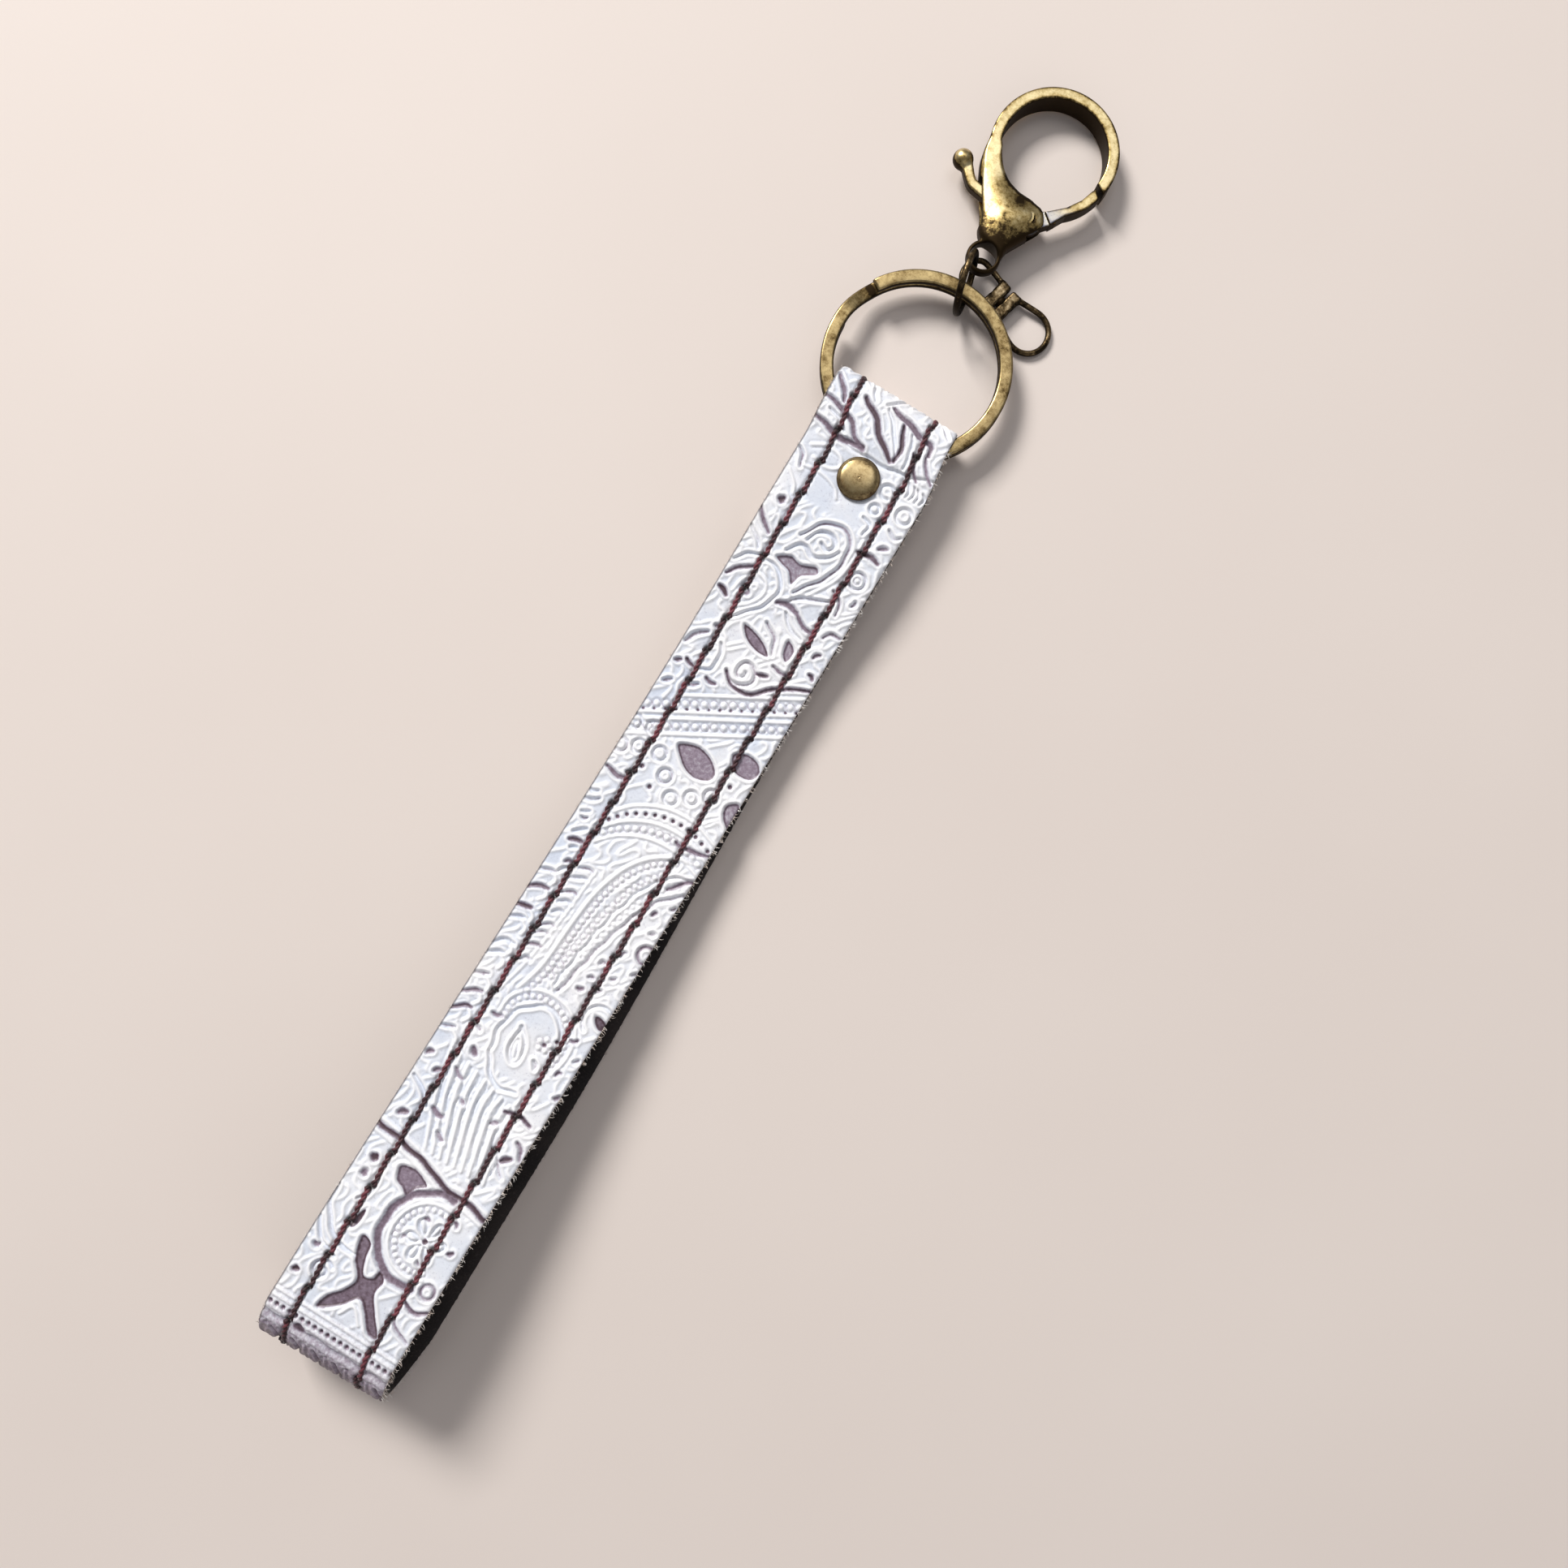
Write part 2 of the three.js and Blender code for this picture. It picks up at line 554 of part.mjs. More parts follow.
// A stirrup with its flat base at x = 0 and its bow at x = length
function stirrup(length, width, crown) {
  const half = (width - SWIVEL_WIRE) / 2;
  const foot = (PLATE_WIDTH - SWIVEL_WIRE) / 2;
  const end = length - SWIVEL_WIRE / 2;
  const start = PLATE_THICKNESS / 2;
  const side = end - crown;
  const bow = [];
  for (let i = 0; i <= 12; i += 1) {
    const angle = (Math.PI * i) / 12;
    bow.push(new THREE.Vector3(side + crown * Math.sin(angle), -half * Math.cos(angle), 0));
  }
  const shoulder = lerp(start, side, 0.75);
  const shoulderHalf = lerp(foot, half, 0.88);
  const line = new THREE.CatmullRomCurve3([
    new THREE.Vector3(start, -foot, 0),
    new THREE.Vector3(shoulder, -shoulderHalf, 0),
    ...bow,
    new THREE.Vector3(shoulder, shoulderHalf, 0),
    new THREE.Vector3(start, foot, 0),
  ], false, 'centripetal');
  const base = new THREE.BoxGeometry(PLATE_THICKNESS, PLATE_WIDTH, PLATE_HEIGHT);
  base.translate(PLATE_THICKNESS / 2, 0, 0);
  const hole = cylinder(SWIVEL_PIN_RADIUS + 0.12, -3, 3, new THREE.Vector2(), 14).rotateY(Math.PI / 2);
  const section = chamferedBox(SWIVEL_WIRE, SWIVEL_WIRE, 0.25);
  return toGeometry(union(tube(section, line, 30), base).subtract(toSolid(hole)));
}

const upperBase = UPPER_LOOP_LENGTH;
const lowerBase = UPPER_LOOP_LENGTH + PLATE_GAP;
const upperLoop = stirrup(UPPER_LOOP_LENGTH, UPPER_LOOP_WIDTH, 2.3).rotateY(Math.PI);
addPart('swivel_upper_stirrup', upperLoop, darkBrass, swivel).position.x = upperBase;
const lowerLoop = stirrup(LOWER_LOOP_LENGTH, LOWER_LOOP_WIDTH, 4);
addPart('swivel_lower_stirrup', lowerLoop, darkBrass, swivel).position.x = lowerBase;

const headIn = upperBase - PLATE_THICKNESS - 0.12;
const headOut = lowerBase + PLATE_THICKNESS + 0.12;
const swivelPin = lathe([
  [0, headIn - 0.5], [0.6, headIn - 0.5], [0.95, headIn - 0.2], [0.95, headIn],
  [SWIVEL_PIN_RADIUS, headIn], [SWIVEL_PIN_RADIUS, headOut], [0.95, headOut],
  [0.95, headOut + 0.2], [0.6, headOut + 0.5], [0, headOut + 0.5],
], 14).rotateY(Math.PI / 2);
addPart('swivel_rivet', swivelPin, darkBrass, swivel);

const washer = lathe([
  [0.7, upperBase + 0.25], [1.1, upperBase + 0.25], [1.1, lowerBase - 0.25],
  [0.7, lowerBase - 0.25], [0.7, upperBase + 0.25],
], 18).rotateY(Math.PI / 2);
addPart('swivel_washer', washer, antiqueBrass, swivel);

// ---- Origin: the middle of the footprint, on the surface ----

const extent = new THREE.Box3().setFromObject(model, true);
const centre = extent.getCenter(new THREE.Vector3());
model.position.set(-centre.x, -centre.y, -extent.min.z);

export default model;
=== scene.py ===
"""Wristlet keychain: an embossed leather wrist strap on a split ring, with a jump ring,
a lobster claw clasp and a loose two-loop swivel.

Lengths in this file are millimetres in the strap's own frame: x across the strap, y along it
with 0 at the fold round the ring, z above the table. place() turns them into the row frame.
"""
import math

import bpy
import numpy as np
import openvdb
from mathutils import Euler, Matrix, Vector


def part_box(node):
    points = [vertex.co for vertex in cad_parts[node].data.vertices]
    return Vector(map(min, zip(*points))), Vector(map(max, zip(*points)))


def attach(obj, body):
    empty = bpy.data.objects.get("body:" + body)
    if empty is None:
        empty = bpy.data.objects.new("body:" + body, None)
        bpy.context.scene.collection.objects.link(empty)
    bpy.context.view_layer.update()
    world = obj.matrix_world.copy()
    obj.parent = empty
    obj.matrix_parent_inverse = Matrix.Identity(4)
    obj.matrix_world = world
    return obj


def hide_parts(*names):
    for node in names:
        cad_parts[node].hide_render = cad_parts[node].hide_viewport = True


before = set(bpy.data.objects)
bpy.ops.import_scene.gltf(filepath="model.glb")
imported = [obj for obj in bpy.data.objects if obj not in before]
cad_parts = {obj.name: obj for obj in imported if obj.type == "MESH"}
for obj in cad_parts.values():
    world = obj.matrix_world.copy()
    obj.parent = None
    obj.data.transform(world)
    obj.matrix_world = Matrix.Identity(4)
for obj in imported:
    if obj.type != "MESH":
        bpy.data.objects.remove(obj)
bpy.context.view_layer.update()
MM = 0.001
RIVET_Y = -17.0

low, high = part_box("rivet_cap_shell")
ORIGIN = np.array([(low[0] + high[0]) / 2 / MM, (low[1] + high[1]) / 2 / MM - RIVET_Y, 0.0])


def place(points):
    """Strap-frame millimetres to row-frame metres."""
    return (np.asarray(points, float) + ORIGIN) * MM


# ---- Camera: straight above, turned so that the strap runs from lower left to upper right ----

CAMERA_OVER = (17.3, -71.4, 240.0)
CAMERA_TURN = 31.34
FIELD_WIDTH = 294.5
SENSOR = 36.0

camera_data = bpy.data.cameras.new("camera")
camera_data.sensor_width = SENSOR
camera_data.lens = SENSOR * CAMERA_OVER[2] / FIELD_WIDTH
camera_data.clip_start = 0.01
camera = bpy.data.objects.new("camera", camera_data)
bpy.context.scene.collection.objects.link(camera)
camera.location = place(CAMERA_OVER)
camera.rotation_euler = (0, 0, math.radians(CAMERA_TURN))
bpy.context.scene.camera = camera


# ---- Mesh helpers ----

def make_object(name, verts, faces, material, smooth=True):
    """A mesh object from row-frame metres."""
    mesh = bpy.data.meshes.new(name)
    mesh.from_pydata([tuple(v) for v in verts], [], [tuple(int(i) for i in f) for f in faces])
    mesh.update()
    if smooth:
        mesh.polygons.foreach_set("use_smooth", [True] * len(mesh.polygons))
    mesh.materials.append(material)
    obj = bpy.data.objects.new(name, mesh)
    bpy.context.scene.collection.objects.link(obj)
    return obj


def fast_object(name, verts, quads, material, tris=None):
    """As make_object, for large numpy grids of quads (and triangles)."""
    mesh = bpy.data.meshes.new(name)
    tris = np.zeros((0, 3), int) if tris is None else np.asarray(tris)
    loops = np.concatenate([np.asarray(quads).ravel(), tris.ravel()]).astype(np.int32)
    sizes = np.concatenate([np.full(len(quads), 4), np.full(len(tris), 3)])
    starts = np.concatenate([[0], np.cumsum(sizes)[:-1]]).astype(np.int32)
    mesh.vertices.add(len(verts))
    mesh.vertices.foreach_set("co", np.asarray(verts, np.float32).ravel())
    mesh.loops.add(len(loops))
    mesh.loops.foreach_set("vertex_index", loops)
    mesh.polygons.add(len(sizes))
    mesh.polygons.foreach_set("loop_start", starts)
    mesh.update(calc_edges=True)
    mesh.validate()
    mesh.polygons.foreach_set("use_smooth", np.ones(len(mesh.polygons), bool))
    mesh.materials.append(material)
    obj = bpy.data.objects.new(name, mesh)
    bpy.context.scene.collection.objects.link(obj)
    return obj


def attribute(obj, name, values):
    layer = obj.data.attributes.new(name, "FLOAT", "POINT")
    layer.data.foreach_set("value", np.asarray(values, np.float32))


def sweep_rings(rings, closed=False):
    """Quads between equal rings of points, with flat caps unless the sweep closes on itself."""
    count, size = len(rings), len(rings[0])
    verts = np.concatenate(rings)
    faces = []
    for i in range(count if closed else count - 1):
        a, b = i * size, ((i + 1) % count) * size
        for j in range(size):
            k = (j + 1) % size
            faces.append((a + j, a + k, b + k, b + j))
    if not closed:
        faces.append(tuple(range(size - 1, -1, -1)))
        faces.append(tuple((count - 1) * size + j for j in range(size)))
    return verts, faces


def merged(pieces):
    """Several (verts, faces) as one."""
    verts, faces, base = [], [], 0
    for v, f in pieces:
        verts.append(v)
        faces.extend(tuple(i + base for i in face) for face in f)
        base += len(v)
    return np.concatenate(verts), faces


def lathe(profile, steps=96):
    """A profile of (radius, height) turned about z."""
    rings = []
    for i in range(steps):
        a = 2 * math.pi * i / steps
        rings.append(np.array([(r * math.cos(a), r * math.sin(a), z) for r, z in profile]))
    return sweep_rings(rings, closed=True)


def smooth_line(points, step=0.15, closed=False):
    """A Catmull-Rom curve through points, sampled about every step."""
    p = np.asarray(points, float)
    if len(p) == 2:
        n = max(2, int(np.linalg.norm(p[1] - p[0]) / step))
        t = np.linspace(0, 1, n)[:, None]
        return p[0] * (1 - t) + p[1] * t
    if closed:
        p = np.vstack([p[-1], p, p[0], p[1]])
    else:
        p = np.vstack([2 * p[0] - p[1], p, 2 * p[-1] - p[-2]])
    out = []
    for i in range(1, len(p) - 2):
        n = max(2, int(np.linalg.norm(p[i + 1] - p[i]) / step))
        t = np.linspace(0, 1, n, endpoint=False)[:, None]
        a, b, c, d = p[i - 1], p[i], p[i + 1], p[i + 2]
        out.append(0.5 * (2 * b + (c - a) * t + (2 * a - 5 * b + 4 * c - d) * t ** 2
                          + (3 * b - a - 3 * c + d) * t ** 3))
    out.append(p[-2][None])
    return np.concatenate(out)


def step_between(x, a, b):
    """0 at a and 1 at b, eased."""
    t = np.clip((np.asarray(x, float) - a) / (b - a), 0, 1)
    return t * t * (3 - 2 * t)


# ---- Node helpers ----

class Nodes:
    """Short names for building a material's nodes."""

    def __init__(self, name):
        self.material = bpy.data.materials.new(name)
        self.material.use_nodes = True
        self.tree = self.material.node_tree
        self.shader = self.tree.nodes["Principled BSDF"]
        self.place = self.new("ShaderNodeTexCoord").outputs["Object"]

    def new(self, kind, **values):
        node = self.tree.nodes.new(kind)
        for key, value in values.items():
            setattr(node, key, value)
        return node

    def link(self, source, target):
        if isinstance(source, (int, float)):
            target.default_value = source
        elif isinstance(source, tuple):
            target.default_value = (*source, 1.0) if len(source) == 3 else source
        else:
            self.tree.links.new(source, target)

    def noise(self, scale, detail=4.0, rough=0.6, stretch=None, distortion=0.0):
        node = self.new("ShaderNodeTexNoise")
        node.inputs["Scale"].default_value = scale
        node.inputs["Detail"].default_value = detail
        node.inputs["Roughness"].default_value = rough
        node.inputs["Distortion"].default_value = distortion
        self.link(self.stretched(stretch), node.inputs["Vector"])
        return node.outputs["Fac"]

    def stretched(self, stretch):
        if stretch is None:
            return self.place
        mapping = self.new("ShaderNodeMapping")
        mapping.inputs["Scale"].default_value = stretch
        self.link(self.place, mapping.inputs["Vector"])
        return mapping.outputs["Vector"]

    def voronoi(self, scale, stretch=None):
        node = self.new("ShaderNodeTexVoronoi", feature="F1")
        node.inputs["Scale"].default_value = scale
        self.link(self.stretched(stretch), node.inputs["Vector"])
        return node.outputs["Distance"]

    def math(self, operation, a, b=0.0):
        node = self.new("ShaderNodeMath", operation=operation)
        self.link(a, node.inputs[0])
        self.link(b, node.inputs[1])
        return node.outputs[0]

    def span(self, value, a, b, low=0.0, high=1.0):
        """value eased from low at a to high at b."""
        node = self.new("ShaderNodeMapRange", interpolation_type="SMOOTHSTEP")
        for socket, amount in zip(("From Min", "From Max", "To Min", "To Max"), (a, b, low, high)):
            node.inputs[socket].default_value = amount
        self.link(value, node.inputs["Value"])
        return node.outputs[0]

    def mix(self, factor, a, b):
        """Colour a where factor is 0 and b where it is 1."""
        node = self.new("ShaderNodeMix", data_type="RGBA", blend_type="MIX")
        self.link(factor, node.inputs["Factor"])
        self.link(a, node.inputs[6])
        self.link(b, node.inputs[7])
        return node.outputs[2]

    def attribute(self, name):
        return self.new("ShaderNodeAttribute", attribute_name=name).outputs["Fac"]

    def bump(self, height, strength, distance):
        """distance in metres for a height of 1."""
        node = self.new("ShaderNodeBump")
        node.inputs["Strength"].default_value = strength
        node.inputs["Distance"].default_value = distance
        self.link(height, node.inputs["Height"])
        self.link(node.outputs["Normal"], self.shader.inputs["Normal"])

    def finish(self, colour, roughness, metallic=0.0, **constants):
        self.link(colour, self.shader.inputs["Base Color"])
        self.link(roughness, self.shader.inputs["Roughness"])
        self.link(metallic, self.shader.inputs["Metallic"])
        for key, value in constants.items():
            self.shader.inputs[key.replace("_", " ")].default_value = value
        return self.material


# ---- Materials ----

def embossed_leather():
    """White-washed leather, with purple-brown showing where the pattern is pressed in, painted shade in the
    needle holes, along the thread and at the loop fold, and a dark left edge.
    """
    n = Nodes("embossed_leather")
    recess, raised, hole_shade_and_dark_edge = n.attribute("recess"), n.attribute("raised"), n.attribute("hole_shade_and_dark_edge")
    cloud = n.noise(70, 4, 0.6)
    tint = n.span(n.noise(24, 3, 0.5), 0.38, 0.64)
    fine = n.noise(1500, 5, 0.65)
    specks = n.span(n.noise(1700, 6, 0.8), 0.53, 0.70)
    ground = n.mix(tint, (0.63, 0.68, 0.79), (0.74, 0.77, 0.84))
    ground = n.mix(n.span(cloud, 0.40, 0.68), ground, (0.83, 0.83, 0.86))
    ground = n.mix(n.math("MULTIPLY", specks, 0.6), ground, (0.30, 0.29, 0.38))
    wash = n.mix(raised, ground, (0.93, 0.92, 0.93))
    # the recess tone also carries the painted shade at the loop fold
    recess_tone_and_fold_shade = n.math("ADD", recess, n.math("MULTIPLY", n.math("SUBTRACT", fine, 0.5), 0.55))
    mauve = n.mix(n.span(recess_tone_and_fold_shade, 0.22, 0.62), wash, (0.27, 0.21, 0.27))
    deep = n.mix(n.span(recess_tone_and_fold_shade, 0.52, 0.92), mauve, (0.075, 0.042, 0.055))
    # painted shade in the needle holes and along the thread's dent, with the left edge's own dark colour
    brown = n.mix(n.math("MULTIPLY", hole_shade_and_dark_edge, 0.9), deep, (0.035, 0.02, 0.018))
    pores = n.voronoi(1500)
    grain = n.math("ADD", n.math("MULTIPLY", pores, 0.5), n.noise(3200, 5, 0.7))
    n.bump(grain, 0.5, 0.00007)
    rough = n.span(n.noise(400, 3), 0.3, 0.7, 0.36, 0.55)
    return n.finish(brown, rough, Coat_Weight=0.08, Coat_Roughness=0.35)


def cut_edge():
    """The strip's raw cut edge: pale, fibrous, with streaks along it."""
    n = Nodes("leather_cut_edge")
    streak = n.noise(900, 5, 0.7, stretch=(1, 0.35, 2.2))
    fibre = n.span(n.voronoi(1500, stretch=(1, 0.4, 1)), 0.1, 0.7)
    tan = n.mix(n.span(streak, 0.35, 0.62), (0.36, 0.27, 0.21), (0.70, 0.63, 0.57))
    colour = n.mix(n.math("MULTIPLY", fibre, 0.5), tan, (0.20, 0.14, 0.11))
    n.bump(n.math("ADD", streak, fibre), 0.9, 0.00018)
    return n.finish(colour, 0.9, Sheen_Weight=0.25, Sheen_Roughness=0.5)


def loose_fibre():
    """Pale fibres that stand off the cut edge."""
    n = Nodes("loose_fibres")
    shade = n.noise(420, 3, 0.6)
    colour = n.mix(n.span(shade, 0.4, 0.6), (0.62, 0.52, 0.45), (0.88, 0.84, 0.80))
    return n.finish(colour, 0.9, Sheen_Weight=0.3, Sheen_Roughness=0.5)


def dark_suede():
    """The lining: black-brown suede with a short nap."""
    n = Nodes("dark_suede")
    nap = n.noise(1900, 6, 0.75)
    patch = n.noise(90, 3, 0.5)
    colour = n.mix(n.span(patch, 0.3, 0.7), (0.012, 0.009, 0.009), (0.035, 0.026, 0.024))
    colour = n.mix(n.span(nap, 0.5, 0.8), colour, (0.075, 0.058, 0.052))
    n.bump(nap, 0.9, 0.00016)
    return n.finish(colour, 0.95, Sheen_Weight=0.08, Sheen_Roughness=0.5)


def sewing_thread():
    """Burgundy polyester thread, with painted shade that turns it nearly black where it dives into a hole."""
    n = Nodes("burgundy_thread")
    fuzz = n.noise(5200, 4, 0.7)
    shade = n.noise(260, 2, 0.5)
    colour = n.mix(n.span(shade, 0.4, 0.62), (0.040, 0.012, 0.016), (0.15, 0.028, 0.040))
    colour = n.mix(n.span(fuzz, 0.56, 0.85), colour, (0.30, 0.12, 0.13))
    # painted shade at the stitch ends, where the thread dives into the hole
    thread_hole_shade = n.math("MULTIPLY", n.span(n.attribute("thread_hole_shade"), 0.2, 0.8), 0.8)
    colour = n.mix(thread_hole_shade, colour, (0.018, 0.006, 0.008))
    n.bump(fuzz, 0.8, 0.00006)
    return n.finish(colour, 0.62, Sheen_Weight=0.2, Sheen_Roughness=0.4)


def aged_brass(name, bright, middle, patina, cover, gloss):
    """Antique brass: rubbed bright on edges and crowns, dark patina on walls and in hollows, with painted
    shade added to the walls of some parts and a painted bluish reflection on the gate.
    cover shifts how much of the patina is left, and gloss is the bare metal's roughness."""
    n = Nodes(name)
    cloud = n.noise(330, 4, 0.55, distortion=0.4)
    speckle = n.noise(1300, 6, 0.78)
    mottle = n.math("ADD", n.math("MULTIPLY", cloud, 0.48), n.math("MULTIPLY", speckle, 0.52))
    rubbed = n.math("ADD", mottle, n.math("MULTIPLY", n.attribute("wear"), 0.22))
    # wall carries patina on upright faces and, on the clasp body and split ring, painted shade
    rubbed = n.math("SUBTRACT", rubbed, n.math("MULTIPLY", n.attribute("wall"), 0.40))
    colour = n.mix(n.span(rubbed, 0.38 + cover, 0.64 + cover), middle, bright)
    dark = n.span(rubbed, 0.46 + cover, 0.29 + cover)
    colour = n.mix(n.math("MULTIPLY", dark, 0.96), colour, patina)
    pits = n.span(n.noise(3800, 3, 0.6), 0.60, 0.72)
    colour = n.mix(n.math("MULTIPLY", pits, 0.55), colour, patina)
    # painted reflection: a cold bluish colour mixed in where the gate's flat face would mirror the light
    colour = n.mix(n.attribute("painted_reflection"), colour, (0.40, 0.44, 0.56))
    rough = n.mix(dark, (gloss,) * 3, (0.55,) * 3)
    n.bump(n.math("ADD", speckle, n.math("MULTIPLY", pits, -0.5)), 0.3, 0.00002)
    return n.finish(colour, rough, 1.0)


def steel():
    n = Nodes("spring_steel")
    lines = n.noise(1600, 4, 0.6, stretch=(0.4, 0.4, 3))
    colour = n.mix(lines, (0.20, 0.19, 0.18), (0.50, 0.49, 0.47))
    n.bump(lines, 0.3, 0.00004)
    return n.finish(colour, n.span(lines, 0.3, 0.7, 0.25, 0.45), 1.0)


def pale_floor():
    """A plain pale surface with the faintest unevenness."""
    n = Nodes("pale_floor")
    cloud = n.noise(9, 3, 0.5)
    fine = n.noise(1400, 3, 0.6)
    colour = n.mix(cloud, (0.70, 0.615, 0.565), (0.76, 0.68, 0.63))
    n.bump(fine, 0.15, 0.00005)
    return n.finish(colour, 0.75)


LEATHER, EDGE, SUEDE, THREAD = embossed_leather(), cut_edge(), dark_suede(), sewing_thread()
FIBRE = loose_fibre()
BRASS = aged_brass(
    "antique_brass", (0.80, 0.67, 0.38), (0.42, 0.30, 0.115), (0.018, 0.010, 0.006), -0.06, 0.33)
RING_BRASS = aged_brass(
    "ring_brass", (0.50, 0.38, 0.185), (0.17, 0.112, 0.043), (0.018, 0.011, 0.006), 0.148, 0.34)
DARK_BRASS = aged_brass(
    "dark_brass", (0.66, 0.53, 0.33), (0.17, 0.115, 0.055), (0.012, 0.008, 0.005), 0.075, 0.30)
CAP_BRASS = aged_brass(
    "rivet_brass", (0.62, 0.49, 0.27), (0.40, 0.29, 0.14), (0.10, 0.062, 0.03), -0.13, 0.30)
STEEL = steel()

# ---- Strap: the strip's line and its layers ----

STRAP_LENGTH = 203.2
LOOP_RADIUS = 9.0
RING_RADIUS = 3.55
# heights of the outer face: under the ring, under the tail, behind the rivet, at the rivet, mid-front
RING_FLOOR, TAIL_FLOOR, SANDWICH, AT_RIVET, SAG = 0.9, 1.3, 3.4, 7.5, 5.4
OUTER, OUTER_SKIVED = 1.1, 0.85
LINING, LINING_SKIVED = 0.8, 0.5
GLUE = 0.1
HALF_WIDTH, RING_HALF_WIDTH = 12.7, 12.3
ROW_X = 7.6
STITCH = 6.62
# how far the strip lies out of line: to the left at the ring, and skewed towards the wrist end
RING_END_SHIFT, FRONT_SKEW, BACK_SKEW_MORE = -1.07, -0.3, 2.6


def bezier(a, b, c, d, n=160):
    """A cubic curve from a to d, pulled towards b and c."""
    t = np.linspace(0, 1, n)[:, None]
    a, b, c, d = (np.array(p, float) for p in (a, b, c, d))
    return a * (1 - t) ** 3 + 3 * b * t * (1 - t) ** 2 + 3 * c * t ** 2 * (1 - t) + d * t ** 3


def straight(a, b, n=200):
    t = np.linspace(0, 1, n)[:, None]
    return np.array(a) * (1 - t) + np.array(b) * t


def turn(y, z, r, a, b, n=200):
    """An arc about y, z from a to b degrees."""
    t = np.radians(np.linspace(a, b, n))
    return np.stack([y + r * np.cos(t), z + r * np.sin(t)], 1)


def strip_line():
    """The outer face's line as y, z, side and arc length. side is -1 in front and 1 behind."""
    top = RING_FLOOR + 2 * RING_RADIUS
    loop_y = -STRAP_LENGTH + LOOP_RADIUS
    loop_top = 2 * LOOP_RADIUS
    parts = [
        (straight((-22.5, TAIL_FLOOR), (-13.6, TAIL_FLOOR)), -1),
        (bezier((-13.6, TAIL_FLOOR), (-12.2, TAIL_FLOOR), (-11.6, RING_FLOOR), (-10, RING_FLOOR)), -1),
        (straight((-10, RING_FLOOR), (-RING_RADIUS, RING_FLOOR)), -1),
        (turn(-RING_RADIUS, RING_FLOOR + RING_RADIUS, RING_RADIUS, -90, 90), -1),
        (straight((-RING_RADIUS, top), (-9.6, top)), -1),
        (bezier((-9.6, top), (-11.6, top), (-12, AT_RIVET), (-13.2, AT_RIVET)), -1),
        (straight((-13.2, AT_RIVET), (-26, AT_RIVET)), -1),
        (bezier((-26, AT_RIVET), (-34, AT_RIVET), (-42, SAG), (-60, SAG)), -1),
        (bezier((-60, SAG), (-90, SAG), (-115, 8.6), (-140, 11.6)), -1),
        (bezier((-140, 11.6), (-165, 14.6), (-178, loop_top), (loop_y, loop_top)), -1),
        (turn(loop_y, LOOP_RADIUS, LOOP_RADIUS, 90, 270), 0),
        (straight((loop_y, 0), (-37, 0), 400), 1),
        (bezier((-37, 0), (-32, 0), (-30, SANDWICH), (-24.5, SANDWICH)), 1),
        (straight((-24.5, SANDWICH), (-13.4, SANDWICH)), 1),
    ]
    points, sides = [], []
    for line, side in parts:
        keep = line if not points else line[1:]
        points.append(keep)
        sides.append(np.linspace(-1, 1, len(keep)) if side == 0 else np.full(len(keep), side))
    points, sides = np.concatenate(points), np.concatenate(sides)
    run = np.concatenate([[0], np.cumsum(np.linalg.norm(np.diff(points, axis=0), axis=1))])
    return points, sides, run


LINE, SIDES, RUN = strip_line()
TOTAL_RUN = RUN[-1]
tangents = np.gradient(LINE, RUN, axis=0)
ANGLE = np.unwrap(np.arctan2(tangents[:, 1], tangents[:, 0]))
FRONT_START = RUN[np.argmin(np.abs(LINE[:, 0] + RING_RADIUS) + 9 * (LINE[:, 1] < 7))]
LOOP_START = RUN[np.argmax(SIDES > -1)] - 0.01
LOOP_END = RUN[np.argmax(SIDES >= 1)]


def along(s):
    """(y, z, outward y, outward z, side) of the outer face at arc length s."""
    y, z = np.interp(s, RUN, LINE[:, 0]), np.interp(s, RUN, LINE[:, 1])
    angle, side = np.interp(s, RUN, ANGLE), np.interp(s, RUN, SIDES)
    return y, z, np.sin(angle), -np.cos(angle), side


def strip_points(x, s, depth):
    """Row-frame points x across the strip, s along it and depth below its outer face."""
    y, z, oy, oz, side = along(s)
    skew = FRONT_SKEW + (side + 1) / 2 * BACK_SKEW_MORE
    shift = RING_END_SHIFT * step_between(y, -16, -2) + skew * step_between(-y, 55, 150)
    x, depth = np.broadcast_arrays(x, depth)
    return place(np.stack([x + shift, y - oy * depth, z - oz * depth], -1))


def layer_depths(s):
    """Depths below the outer face of the leather's back, the lining's front and the lining's back."""
    y = along(s)[0]
    ring = step_between(y, -14.5, -11)
    outer = OUTER + (OUTER_SKIVED - OUTER) * ring
    lining = LINING + (LINING_SKIVED - LINING) * ring
    return outer, outer + GLUE, outer + GLUE + lining


def half_width(s):
    y = along(s)[0]
    return HALF_WIDTH + (RING_HALF_WIDTH - HALF_WIDTH) * step_between(y, -16, -2)


# ---- Embossed pattern, drawn on a flat map of x across and y along the front ----

CELL = 0.2
MAP_X = np.arange(-13.6, 13.6 + CELL, CELL)
MAP_Y = np.arange(-216, 8 + CELL, CELL)
pressed = np.zeros((len(MAP_Y), len(MAP_X)))
lifted = np.zeros_like(pressed)
shade = np.zeros_like(pressed)


EYE = (2.6, -135.5)
MEDALLION = (5.6, -173.4)


